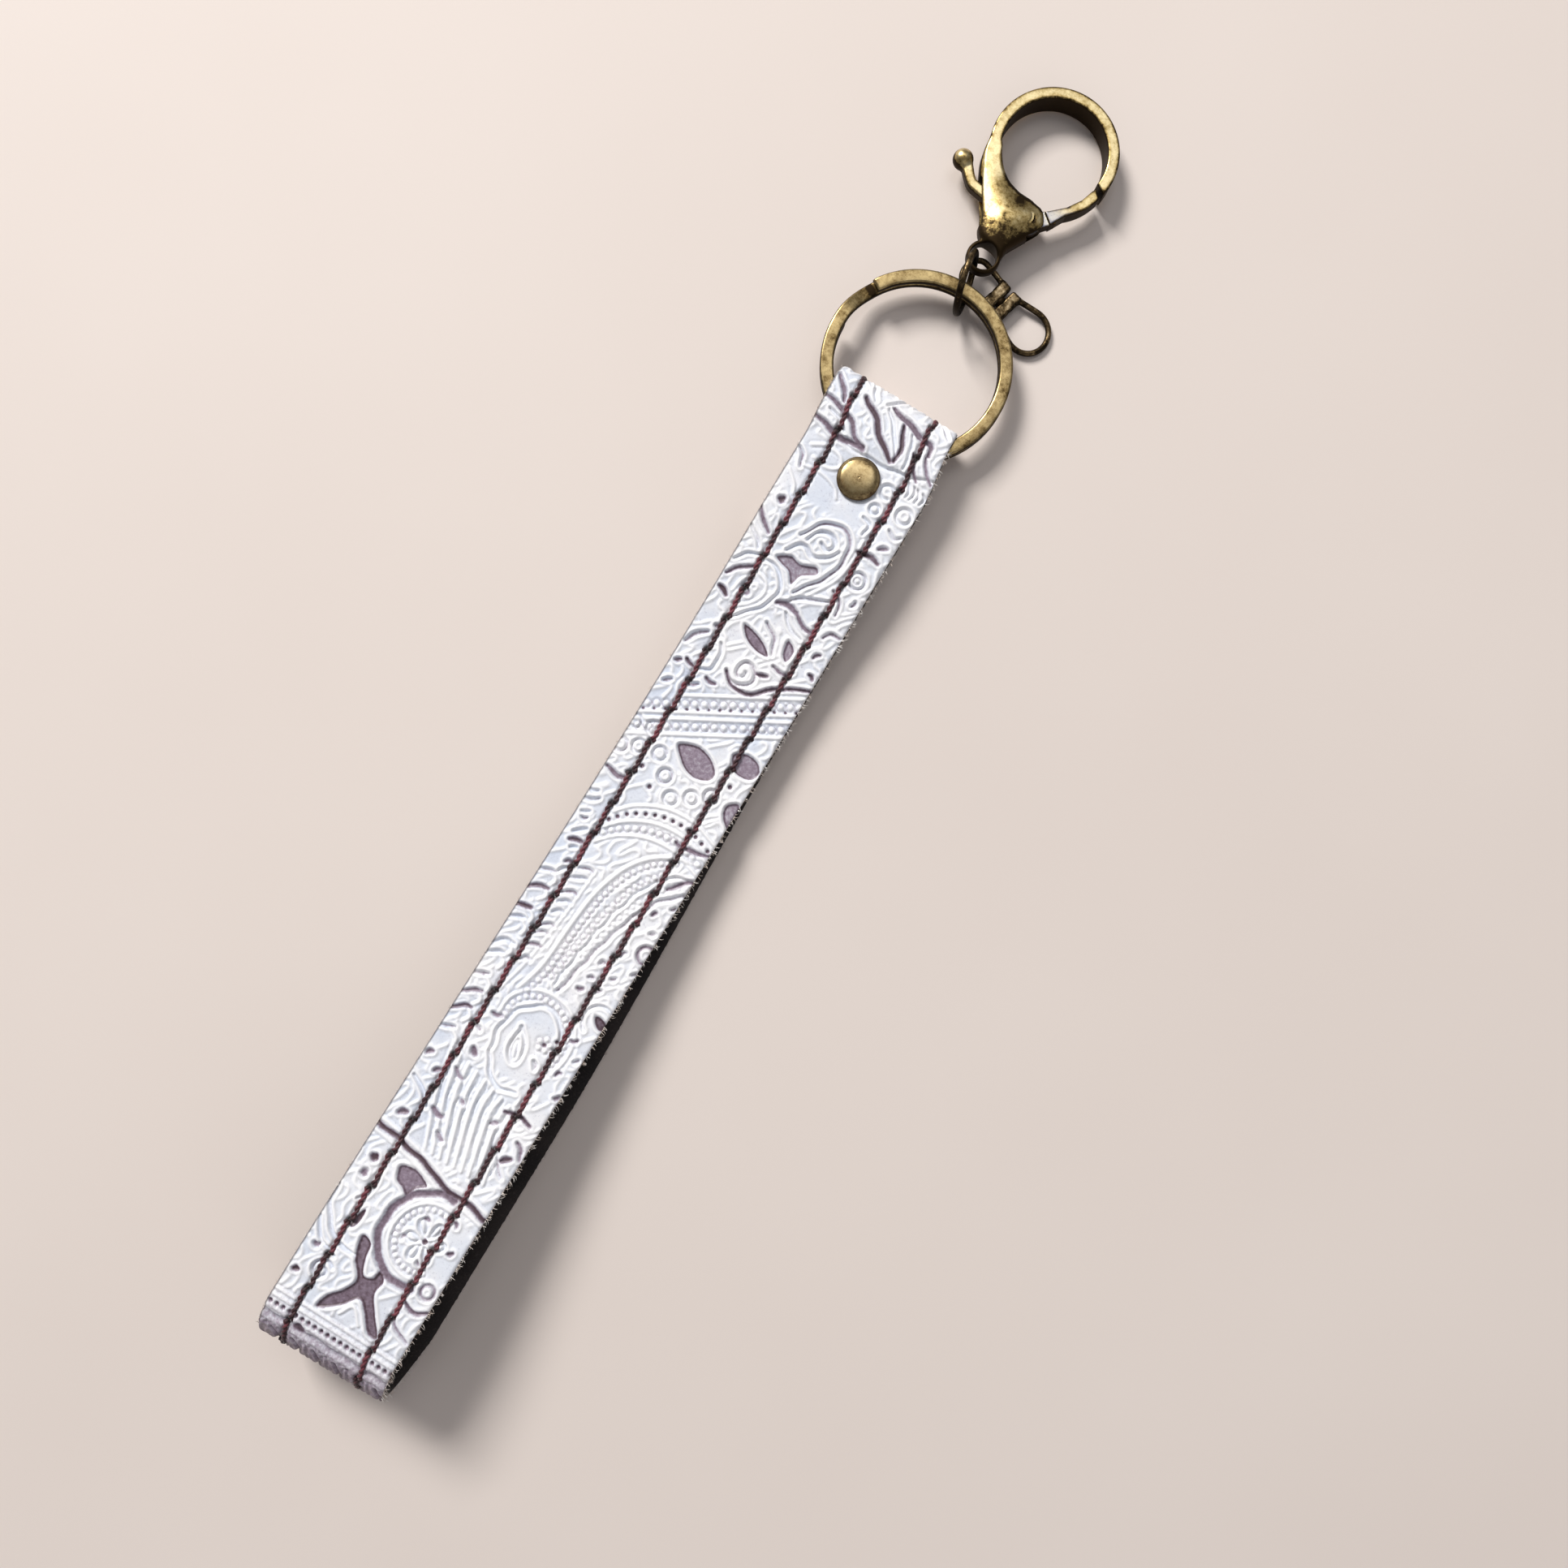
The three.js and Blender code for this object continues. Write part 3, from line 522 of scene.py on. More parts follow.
def near(points, reach):
    """The map window round points and the distance of each of its cells to them."""
    lo, hi = points.min(0) - reach, points.max(0) + reach
    i0, i1 = np.searchsorted(MAP_Y, [lo[1], hi[1]])
    j0, j1 = np.searchsorted(MAP_X, [lo[0], hi[0]])
    gx, gy = MAP_X[j0:j1], MAP_Y[i0:i1]
    best = np.full((len(gy), len(gx)), 1e3)
    index = np.zeros(best.shape, int)
    for k, (px, py) in enumerate(points):
        d = (gx[None, :] - px) ** 2 + (gy[:, None] - py) ** 2
        closer = d < best
        best[closer], index[closer] = d[closer], k
    return (slice(i0, i1), slice(j0, j1)), np.sqrt(best), index / max(1, len(points) - 1)


def lift(window, amount):
    lifted[window] = np.maximum(lifted[window], amount)


def press(window, amount, tone):
    pressed[window] = np.maximum(pressed[window], amount)
    shade[window] = np.maximum(shade[window], amount * tone)


def groove(points, width=0.8, tone=0.8, rim=0.8, closed=False, taper=True, wobble=0.14):
    """A pressed line with a raised white rim on both sides."""
    line = smooth_line(points, 0.2, closed)
    phase = 3.1 * line[0, 0] + 1.7 * line[0, 1]
    k = np.arange(len(line))
    line = line + wobble * np.stack([np.sin(0.27 * k + phase), np.sin(0.21 * k + 2 * phase)], 1)
    width = width * (1 + 0.16 * math.sin(2.3 * phase))
    tone = min(1.0, tone * (0.92 + 0.12 * math.sin(1.9 * phase)))
    window, d, t = near(line, width + 1.2)
    half = width / 2 * (0.45 + 0.55 * np.sin(np.pi * np.clip(t, 0.04, 0.96)) ** 0.6) if taper else width / 2
    press(window, 1 - step_between(d, half * 0.45, half + 0.15), tone ** 1.8)
    if tone > 0.7:
        shade[window] = np.maximum(shade[window], 0.5 * tone * np.exp(-(d / (half + 0.55)) ** 2))
    lift(window, rim * np.exp(-((d - half - 0.42) / 0.26) ** 2))


def ridge(points, width=0.55, height=1.0, closed=False):
    """A raised white line with faint shadows pressed beside it."""
    line = smooth_line(points, 0.2, closed)
    window, d, _ = near(line, width + 0.8)
    lift(window, height * np.exp(-(d / width) ** 2 * 1.6))
    press(window, 0.3 * np.exp(-((d - width - 0.12) / 0.2) ** 2), 0.75)


def filled(points, tone=0.42, rim=0.9):
    """A closed shape pressed in all over, with a raised outline and a darker lower edge."""
    line = smooth_line(points, 0.15, True)
    window, d, _ = near(line, 1.4)
    gx, gy = np.meshgrid(MAP_X[window[1]], MAP_Y[window[0]])
    inside = np.zeros(gx.shape, bool)
    xs, ys = line[:, 0], line[:, 1]
    for k in range(len(line)):
        x0, y0, x1, y1 = xs[k - 1], ys[k - 1], xs[k], ys[k]
        crosses = (y0 > gy) != (y1 > gy)
        if y0 != y1:
            inside ^= crosses & (gx < (x1 - x0) * (gy - y0) / (y1 - y0) + x0)
    signed = np.where(inside, -d, d)
    press(window, 1 - step_between(signed, -0.35, 0.1), tone)
    edge = np.exp(-((signed + 0.3) / 0.22) ** 2)
    press(window, edge, min(1, tone + 0.3))
    lift(window, rim * np.exp(-((signed - 0.42) / 0.26) ** 2))


def bead(x, y, r=0.5, ring=0.55):
    """A raised dot in a pressed ring."""
    window, d, _ = near(np.array([[x, y]]), r + 0.9)
    lift(window, np.exp(-(d / r) ** 2 * 1.3))
    press(window, ring * np.exp(-((d - r - 0.16) / 0.2) ** 2), 0.8)


def dot(x, y, r=0.42, tone=0.85):
    """A pressed dark dot with a raised rim."""
    window, d, _ = near(np.array([[x, y]]), r + 1.1)
    press(window, 1 - step_between(d, r * 0.5, r + 0.15), tone)
    lift(window, 0.6 * np.exp(-((d - r - 0.4) / 0.24) ** 2))


def blob(x, y, length, width, angle, tone=0.8):
    """A short pressed stroke, slightly bowed and turned by where it lies."""
    a = math.radians(angle + 14 * math.sin(5.3 * x + 2.9 * y))
    dx, dy = math.cos(a) * (length - width) / 2, math.sin(a) * (length - width) / 2
    bow = 0.22 * math.sin(3.7 * x + y)
    groove([(x - dx, y - dy), (x - bow * math.sin(a), y + bow * math.cos(a)), (x + dx, y + dy)],
           width * 1.15, tone, 0.9)


def drop(x, y, length, width, angle, tone=0.45, hollow=False):
    """A teardrop with its tip towards angle."""
    a = math.radians(angle)
    shape = []
    for k in range(14):
        t = 2 * math.pi * k / 14
        u = math.cos(t) * length / 2
        v = math.sin(t) * width / 2 * (0.5 - 0.5 * math.cos(t)) ** 0.35 * (1 if math.cos(t) < 0.9 else 0.3)
        shape.append((x + u * math.cos(a) - v * math.sin(a), y + u * math.sin(a) + v * math.cos(a)))
    if hollow:
        groove(shape, 0.45, 0.5, 0.9, closed=True, taper=False)
    else:
        filled(shape, tone)


def circle(x, y, r, width=0.5, tone=0.5, start=0, end=360):
    angles = np.radians(np.linspace(start, end, 16))
    groove([(x + r * math.cos(a), y + r * math.sin(a)) for a in angles], width, tone, 0.9,
           taper=False, wobble=0.03)


def beads(points, pitch=1.35, r=0.48, offset=0.0):
    """A row of beads along a curve."""
    line = smooth_line(points, 0.05)
    run = np.concatenate([[0], np.cumsum(np.linalg.norm(np.diff(line, axis=0), axis=1))])
    for s in np.arange(pitch / 2 + offset, run[-1], pitch):
        bead(np.interp(s, run, line[:, 0]), np.interp(s, run, line[:, 1]), r)


def spiral(x, y, r, turns, start, width=0.6, tone=0.6, flip=1):
    points = []
    for k in range(int(turns * 10) + 1):
        t = k / (turns * 10)
        a = math.radians(start + flip * 360 * turns * t)
        points.append((x + r * (1 - 0.86 * t) * math.cos(a), y + r * (1 - 0.86 * t) * math.sin(a)))
    groove(points, width, tone, 0.95)


def draw_ring_end():
    """0 to -30: leaf blades over the ring fold, then loops round the rivet."""
    groove([(0, -2.6), (3, -3.6), (6.5, -4.6), (8.9, -5.2), (9.6, -7)], 1.2, 1.0)
    groove([(-5.5, -3.6), (-2.2, -5.9), (0.8, -9.3), (3.6, -11.3)], 1.3, 1.0)
    groove([(3, -4.5), (4.3, -7.6), (4.2, -11)], 1.0, 1.0)
    groove([(-0.6, -3.2), (2.0, -6.5), (4.0, -10)], 0.4, 0.4)
    groove([(5.2, -5.4), (6.3, -8), (6.2, -11.5)], 0.4, 0.45)
    groove([(-12.4, -6.9), (-8.5, -7.6), (-5.8, -8.9), (-4, -11), (-2, -11.6)], 1.2, 1.0)
    groove([(-12.4, -11), (-7.5, -12.2), (-2, -12.1)], 1.15, 1.0)
    groove([(-10.5, -8.7), (-8, -9.6), (-6.3, -11)], 0.5, 0.6)
    groove([(-11.5, -2.5), (-9.6, -4.6), (-8.6, -6.4)], 0.9, 0.9)
    groove([(-5.2, 1.5), (-4.6, -1.5), (-3.4, -3.2)], 0.6, 0.55)
    groove([(1.5, 1.5), (0.2, -1.2), (-1.5, -3.0)], 0.5, 0.5)
    groove([(8.8, 1.5), (10.4, -1.5), (11.6, -2.6)], 0.6, 0.6)
    groove([(9.3, -7.5), (10.6, -10), (12.2, -11.2)], 0.8, 0.9)
    groove([(6.8, -8.2), (8.2, -10.4), (9.4, -12.2)], 0.6, 0.8)
    groove([(-7, -12.8), (0, -12.9), (6.5, -12.3), (12.4, -10.6)], 0.5, 0.6, 0.4)
    for k in range(4):
        groove([(8.6 + k, -12.9 - 0.2 * k), (9.2 + k, -14.2), (8.9 + k, -15.4)], 0.4, 0.55)
    ridge([(-10.5, -16), (-8, -14.8), (-5, -15.2), (-4, -17), (-6, -18.3), (-9, -17.8)], 0.45, 0.8)
    ridge([(-10, -20), (-6.5, -19.6), (-3, -20.6), (-1.6, -22.2)], 0.4, 0.7)
    ridge([(-11.8, -21.8), (-9.6, -23.8), (-8.8, -25.4)], 0.4, 0.8)
    groove([(-12.3, -17.6), (-10.8, -18.6), (-10.2, -20.6)], 0.5, 0.7)
    circle(5.8, -16.4, 1.3, 0.45, 0.4, 20, 300)
    circle(10.7, -18.6, 1.4, 0.45, 0.6)
    circle(5.4, -20.2, 0.9, 0.4, 0.4)
    groove([(4.4, -22.6), (6.2, -23.4), (6.0, -25.2)], 0.4, 0.4)
    groove([(9.8, -22), (11.2, -23), (12.2, -22.4)], 0.5, 0.7)
    blob(10.5, -25.6, 2.0, 0.7, 25, 0.8)


def draw_scrolls():
    """-26 to -62: a large scroll with leaves hanging from it."""
    blob(-10, -27.3, 1.9, 1.3, 20, 0.85)
    groove([(-12.4, -30.6), (-11, -32.2), (-8.9, -33.7)], 0.95, 0.95)
    groove([(-12.2, -34.2), (-10.3, -35.6), (-9, -37.2)], 0.5, 0.6)
    groove([(-3.6, -31), (-2, -28.4), (0.5, -26.3), (3.3, -26.4), (5.1, -28.6), (5.4, -32),
            (4.0, -36), (0.4, -40.6)], 0.8, 0.85, 1.0)
    groove([(-2.2, -31.2), (-0.8, -28.9), (1.4, -28.2), (2.8, -29.6), (1.8, -31.2), (0.4, -30.4)],
           0.6, 0.6, 1.0)
    ridge([(6.7, -26.2), (7.0, -30), (6.0, -35), (3, -40)], 0.4, 0.9)
    groove([(-4.6, -34.6), (-2.4, -32.6), (0, -33.3), (2.4, -32.4), (4, -30.4)], 0.6, 0.6, 1.0)
    filled([(-5.6, -36.6), (-3.2, -35.2), (-1, -35.6), (1.8, -34.6), (2.6, -35.8), (0.2, -37.6),
            (-0.6, -39.8), (-2.2, -38), (-4.2, -37.4)], 0.5)
    groove([(7, -28.4), (9, -27.9), (11.2, -28.6)], 0.9, 0.95)
    circle(9.5, -33, 1.5, 0.5, 0.6)
    bead(9.5, -33, 0.5)
    blob(11, -37, 2.0, 0.8, 60, 0.85)
    groove([(6.6, -36.6), (8.6, -37.8), (9.2, -40.4)], 0.6, 0.7)
    groove([(-12, -44), (-10.5, -42), (-7.6, -40.1)], 0.7, 0.8)
    groove([(-12, -41), (-10.6, -39.2), (-8.4, -37.9)], 0.5, 0.5)
    groove([(-8, -39), (-5.4, -38.2), (-3, -39.4), (-1.9, -42), (-2.7, -45.4), (-5.4, -48.6), (-8, -51)],
           0.55, 0.5, 1.0)
    ridge([(-6.4, -41), (-4.6, -41.8), (-4.0, -44), (-5.4, -46.6), (-8, -48.6)], 0.4, 0.9)
    groove([(-1, -43.9), (1, -43.1), (3, -43.6)], 1.3, 0.85, 1.0)
    groove([(0, -43), (3, -40.6), (7, -38.9)], 0.6, 0.7)
    groove([(3, -43.6), (5.4, -45.1), (8, -45.6)], 0.7, 0.8)
    groove([(1.4, -44.6), (3.2, -46.4), (6.2, -47.6)], 0.5, 0.5)
    blob(-7, -45.1, 1.8, 1.1, 50, 0.8)
    blob(-10.7, -47, 2.8, 1.0, -35, 0.9)
    blob(-8, -53, 2.0, 1.1, 30, 0.85)
    filled([(-4.2, -50.2), (-1.6, -50.5), (0.9, -51.5), (2.7, -53.2), (0.2, -53.4), (-2.6, -52.3)], 0.6)
    groove([(-0.6, -47.9), (1.8, -49.6), (3.1, -52.6)], 0.7, 0.8)
    filled([(4.3, -48.6), (6.3, -49.8), (6.0, -52.4), (4.6, -51.2)], 0.5)
    groove([(9.5, -45), (10.6, -43.8), (12.2, -43.5)], 0.8, 0.9)
    blob(10.4, -48.6, 2.2, 0.8, 40, 0.85)
    blob(11.2, -52.4, 1.8, 0.8, -40, 0.85)
    spiral(0.3, -57.9, 3.0, 1.5, 200, 0.6, 0.6)
    groove([(-2.4, -59.2), (-0.6, -61), (2.2, -61.2), (5, -59.4), (7.6, -57), (12.6, -54.6)],
           0.7, 0.85, 1.0)
    groove([(-6, -55.5), (-4.9, -57.9), (-5.2, -60.4), (-7.6, -62)], 0.6, 0.6, 1.0)
    groove([(4.4, -54.2), (6.6, -54.6), (8, -53.2)], 0.6, 0.7)
    groove([(-12, -58.3), (-10.8, -56.4), (-9.3, -55)], 0.95, 0.85)
    blob(-11.2, -62, 1.8, 0.8, 30, 0.8)


def draw_bands():
    """-60 to -100: beaded bands that rise to the right, filled drops and dotted arcs."""
    slope = 0.56

    def band(y, lo=-12.6, hi=12.8):
        return [(x, y + slope * x) for x in np.linspace(lo, hi, 6)]

    ridge(band(-63.4, -7, 12.8), 0.42, 1.0)
    beads(band(-65.2), 1.75, 0.62)
    ridge(band(-67.0), 0.42, 1.0)
    ridge(band(-68.4), 0.42, 0.9)
    beads(band(-70.0), 1.75, 0.6, 0.8)
    ridge(band(-71.7), 0.42, 1.0)
    for k in range(15):
        x = -12 + 1.75 * k
        dot(x, -66.1 + slope * x - 0.2, 0.3, 0.75)
    for x, y, a in ((-4, -62.3, 10), (-6.6, -64.4, 40), (-11, -66.2, 30), (-9, -61.5, -20),
                    (3.4, -56.6, 30)):
        blob(x, y, 2.4, 0.7, a, 0.85)
    filled([(-3.1, -75.4), (-1.2, -74.2), (1, -73.8), (3.6, -74.6), (5.6, -76.4), (5.3, -78.2),
            (3, -79.2), (0.6, -78.8), (-1.4, -77.4)], 0.55)
    ridge([(-0.6, -75.8), (1.6, -76), (3.6, -77.2)], 0.3, 0.35)
    filled([(6.6, -71.6), (8.8, -70.4), (11.4, -70.8), (12.6, -72.6), (11.4, -74.4), (8.8, -74.6),
            (7.2, -73.4)], 0.55)
    filled([(10.6, -80), (12.6, -79.2), (13.4, -84), (11.6, -83.4), (10.4, -81.6)], 0.5)
    for x, y in ((-9, -79.4), (-5, -78.6), (-2, -81.6), (1, -84.6), (4.2, -82.6), (7.2, -80.6),
                 (-12, -80.8), (-8.4, -75.2), (-12, -75.8)):
        circle(x, y, 1.25, 0.5, 0.6)
    for x, y in ((-6.6, -82.2), (-3.4, -84.8), (-8.2, -84.6), (7.4, -77.4), (9.2, -77.2)):
        dot(x, y, 0.5, 0.8)
    groove([(-12, -85.4), (-9.6, -86.2), (-7.4, -85.4)], 0.9, 0.95)
    for rise, kind in ((0, "ridge"), (-1.7, "dots"), (-3.3, "ridge"), (-4.9, "beads"), (-6.4, "ridge")):
        arch = [(-6.6, -92 + rise), (-4, -89.3 + rise), (0, -87.1 + rise), (4, -86.2 + rise),
                (8, -86.4 + rise), (12.8, -88 + rise)]
        if kind == "ridge":
            ridge(arch, 0.42, 1.0)
        elif kind == "beads":
            beads(arch, 1.5, 0.55)
        else:
            line = smooth_line(arch, 0.05)
            for k in range(0, len(line), 34):
                dot(line[k][0], line[k][1], 0.42, 0.85)
    for k in range(9):
        blob(-11.6 + 0.4 * k, -90.4 - 1.9 * k + 0.5 * math.sin(2.4 * k), 2.3 + 0.8 * math.sin(1.7 * k), 0.6,
             12 + 3 * k, 0.62 + 0.25 * math.sin(2.9 * k))
    groove([(6, -90.8), (8, -91.2), (12.8, -90)], 0.8, 0.9)
    groove([(9.4, -99), (11, -97), (12.9, -95.6)], 0.95, 0.9)
    for x, y in ((9.6, -104), (12, -101.6), (11.2, -107.4), (8.8, -113.2), (12.4, -115.4), (9.6, -118)):
        blob(x, y, 1.7, 0.8, 40, 0.8)


def draw_paisley():
    """-95 to -150: a long paisley whose neck curves down into a round eye."""
    left = [(12, -92.4), (7.4, -93.6), (3.6, -96), (0.6, -100), (-1.4, -106), (-2.2, -113), (-2.7, -122),
            (-4.2, -128)]
    mid = [(12.4, -95.4), (8.6, -97.2), (5.4, -101.6), (3.3, -108), (2.0, -115), (0.9, -124)]
    right = [(12.8, -98.6), (9.8, -101), (7.2, -105.4), (5.2, -111), (3.6, -117.4), (2.1, -125)]
    ridge(left, 0.5, 1.0)
    groove(mid, 0.5, 0.55, 1.0, taper=False)
    groove(right, 0.65, 0.6, 1.0, taper=False)
    beads([(x + 1.35, y - 0.5) for x, y in left[1:]], 1.3, 0.46)
    beads([(x - 1.15, y + 0.3) for x, y in mid[1:]], 1.3, 0.44)
    line = smooth_line([((a + c) / 2 + 0.1, (b + d) / 2) for (a, b), (c, d) in zip(mid, right)], 0.05)
    for k in range(10, len(line), 30):
        bead(line[k][0], line[k][1], 0.42, 0.4)
    ridge([(-3.4, -103), (-4.0, -112), (-5.2, -122), (-7, -130)], 0.35, 0.8)
    for k in range(9):
        y = -103.4 - 2.35 * k + 0.45 * math.sin(2.2 * k)
        w = 1.0 + 0.5 * math.sin(1.3 * k)
        groove([(-5.4 - w - 0.12 * k, y - 0.8), (-4.7 - 0.15 * k, y + 0.2), (-3.9 - 0.12 * k, y + 0.1)],
               0.65, 0.68 + 0.2 * math.sin(3.1 * k))
    for k in range(10):
        y = -107 - 3.6 * k + 0.7 * math.sin(2.7 * k)
        w = 0.5 * math.sin(1.9 * k)
        groove([(-12.4, y - 0.9 - w), (-10.8, y + 0.1), (-9.7 + w, y + 0.3)],
               0.75, 0.74 + 0.22 * math.sin(1.1 * k))
        ridge([(-9.2 - w, y - 2.4), (-8.8, y - 1.2), (-9.6 + w, y - 0.2)], 0.45, 1.0)
    circle(12.4, -111.3, 1.6, 0.7, 0.85)
    drop(11.6, -125.8, 3.4, 2.3, 150, 0.75)
    circle(11.3, -125.9, 2.9, 0.45, 0.5, 60, 240)
    for x, y in ((5.9, -119.6), (5.2, -122.4), (6.4, -116.4), (8.2, -121.2), (9.4, -130.8), (11.6, -133.6),
                 (10.2, -137.4), (12.2, -141)):
        blob(x, y, 1.7, 0.75, 35, 0.8)
    # the eye
    outer = [(-4.6, -133.5), (-4.4, -130), (-2.2, -127.1), (1.4, -125.9), (5.6, -126.6), (8.6, -129.6),
             (9.5, -133.8), (8.8, -138)]
    ridge([(x * 1.04, y) for x, y in outer], 0.42, 1.0)
    beads([(0.86 * (x - 1.6) + 1.6, 0.86 * (y + 135) - 135) for x, y in outer], 1.25, 0.5)
    groove([(-2.6, -139.4), (-3.3, -135.6), (-2.3, -131.6), (0.2, -129), (3.2, -128.3), (6.0, -129.8),
            (7.2, -132.4)], 0.45, 0.5, 1.0, taper=False)
    groove([(-2.6, -139.8), (-0.6, -143), (2.4, -144.6), (5.4, -144)], 0.5, 0.5, 1.0)
    drop(1.2, -136.6, 6.4, 3.0, 108, hollow=True)
    drop(1.2, -137.4, 3.2, 1.2, 108, hollow=True)
    for k in range(5):
        a = math.radians(72 * k + 20)
        bead(5.2 + 1.05 * math.cos(a), -134.2 + 1.05 * math.sin(a), 0.5)
    dot(5.2, -134.2, 0.35, 0.9)
    dot(6.9, -132.6, 0.4, 0.9)
    blob(5.6, -138.0, 2.2, 0.6, -50, 0.6)
    blob(-4.9, -133.8, 2.2, 0.7, 0, 0.85)
    blob(-4.9, -141.4, 2.2, 1.1, -30, 0.85)
    blob(-6.4, -137.6, 2.0, 0.8, -30, 0.8)
    groove([(-11.6, -150.3), (-9, -151.6), (-6.6, -154)], 0.5, 0.5)


def draw_fan():
    """-143 to -165: slanted ridges that fan out below the eye, and the dark line under them."""
    for k in range(9):
        x = -6.4 + 1.75 * k
        ridge([(x - 2.2 + 0.3 * k, -142.6 - 0.55 * k), (x - 0.6, -150), (x + 3.4 - 0.25 * k, -160.2)],
              0.42, 1.0)
        groove([(x - 1.4 + 0.3 * k, -143 - 0.55 * k), (x + 0.2, -150.4), (x + 3.4 - 0.2 * k, -158.2)],
               0.3, 0.45, 0.2)
    for x, y, w, a in ((-5, -146, 3, -35), (-2, -149.8, 2, -40), (-4.6, -153.6, 3, -30),
                       (5, -150.2, 2.4, 30),
                       (-9.8, -156.6, 2.6, 20), (-8.6, -147.6, 2, 40), (10.2, -154.6, 2.6, 35),
                       (-2, -157, 2.8, -10), (-11.4, -145.4, 2, 30)):
        blob(x, y, w, 0.95, a, 0.85)
    groove([(5.6, -147.4), (8, -147.1), (10.8, -147.5)], 0.85, 0.95)
    groove([(10.2, -151.2), (11.6, -152), (12.4, -153.4)], 0.8, 0.9)
    groove([(8.6, -155.2), (10, -156.6), (11.2, -157.8)], 0.6, 0.6)
    line = [(-13, -160.2), (-8, -160.9), (-3, -161.9), (1, -163), (4, -164.2), (7, -164.1),
            (12.6, -165.2)]
    groove(line, 0.95, 1.0, 1.0, taper=False)
    ridge([(x, y + 1.1) for x, y in line], 0.4, 1.0)
    ridge([(x, y - 1.25) for x, y in line], 0.4, 0.9)


def draw_loop_end():
    """-163 to -200: a medallion, a forked branch and the border bands before the loop fold."""
    filled([(-5.2, -164.6), (-3, -163.8), (-1, -164.2), (0.9, -165.3), (-0.6, -166.6), (-1.5, -168.4),
            (-3, -167.6), (-4.4, -167)], 0.6)
    cx, cy = MEDALLION
    ring = [(cx + 8.1 * math.cos(a), cy + 8.4 * math.sin(a)) for a in np.radians(np.linspace(85, 285, 14))]
    groove(ring, 1.5, 0.82, 1.0, taper=False)
    inner = [(cx + 6.3 * math.cos(a), cy + 6.6 * math.sin(a)) for a in np.radians(np.linspace(70, 300, 14))]
    ridge(inner, 0.4, 1.0)
    beads([(cx + 5.2 * math.cos(a), cy + 5.5 * math.sin(a)) for a in np.radians(np.linspace(60, 310, 14))],
          1.2, 0.5)
    for k in range(6):
        a = math.radians(60 * k + 10)
        drop(cx + 2.2 * math.cos(a), cy + 2.4 * math.sin(a), 2.9, 1.5, 60 * k + 190, 0.5, hollow=True)
    dot(cx, cy, 0.6, 0.85)
    for x, y, a in ((4, -170, 20), (2, -174.6, 60), (6.4, -177.2, -30), (10.4, -173, 40),
                    (8.8, -168.4, -20)):
        blob(x, y, 1.5, 0.7, a, 0.85)
    filled([(-4.4, -177.8), (-2.2, -178.2), (-1.6, -180.8), (-0.4, -183.4), (1.2, -183.0), (1.6, -181.4),
            (3.2, -182.6), (3.0, -185.2), (5.0, -188.2), (7.4, -191.4), (5.4, -191.6), (2.8, -188.6),
            (1.0, -187.4), (-1.2, -190), (-4.6, -192.2), (-4.2, -189.6), (-2.2, -187.2), (-1.2, -184.6),
            (-3.4, -181.6)], 0.68)
    ridge([(-0.6, -191), (1.0, -188.8), (3.4, -191.2)], 0.4, 1.0)
    blob(-10, -165.6, 1.8, 1.3, 20, 0.9)
    blob(-10, -168.8, 1.8, 1.3, 20, 0.9)
    blob(-10.4, -183, 2.0, 1.2, 30, 0.9)
    blob(-11.2, -188.3, 2.0, 1.2, 30, 0.9)
    drop(-6.5, -175.6, 4.4, 1.6, 80, 0.75)
    groove([(-12.6, -172.6), (-12, -176), (-9.6, -179.4), (-6, -181.2), (-3.4, -181.4)], 0.5, 0.5, 1.0)
    groove([(-12.4, -178.6), (-10.4, -181.6), (-6.6, -183.4)], 0.5, 0.5, 1.0)
    groove([(-7.6, -167.2), (-7, -170.6), (-8.6, -173)], 0.45, 0.5, 1.0)
    spiral(-7.2, -186.4, 1.9, 1.3, 40, 0.5, 0.6)
    groove([(8.2, -183.6), (10.6, -184.6), (12.4, -183.4)], 0.7, 0.8)
    groove([(7.4, -186), (9.4, -188.6), (12.2, -189.4)], 0.6, 0.7)
    circle(10.6, -180.4, 1.2, 0.5, 0.7)
    # painted shade with a darker finish: the rows towards the loop fold get extra tone
    rows = slice(*np.searchsorted(MAP_Y, [-216, -191.6]))
    shade[rows] = np.maximum(shade[rows], 0.26)
    for y, height in ((-192.9, 1.0), (-194.1, 1.0), (-196.2, 0.9)):
        ridge([(-13, y + 0.2), (0, y), (13, y - 0.4)], 0.4, height)
    for k in range(20):
        dot(-12 + 1.3 * k, -195.2 - 0.02 * k, 0.4, 0.75)
    groove([(-13, -197.4), (0, -197.6), (13, -198)], 1.1, 0.5, 0.7, taper=False)
    blob(-5.4, -197.3, 3.0, 1.7, 0, 0.95)
    for k in range(6):
        x = -10 + 4.2 * k
        groove([(x, -200), (x + 1.8, -202.5), (x + 0.6, -206), (x + 2.2, -210)], 0.8, 0.75)
        ridge([(x + 2.4, -200), (x + 3.2, -205), (x + 2.6, -211)], 0.4, 0.8)


for draw in (draw_ring_end, draw_scrolls, draw_bands, draw_paisley, draw_fan, draw_loop_end):
    draw()


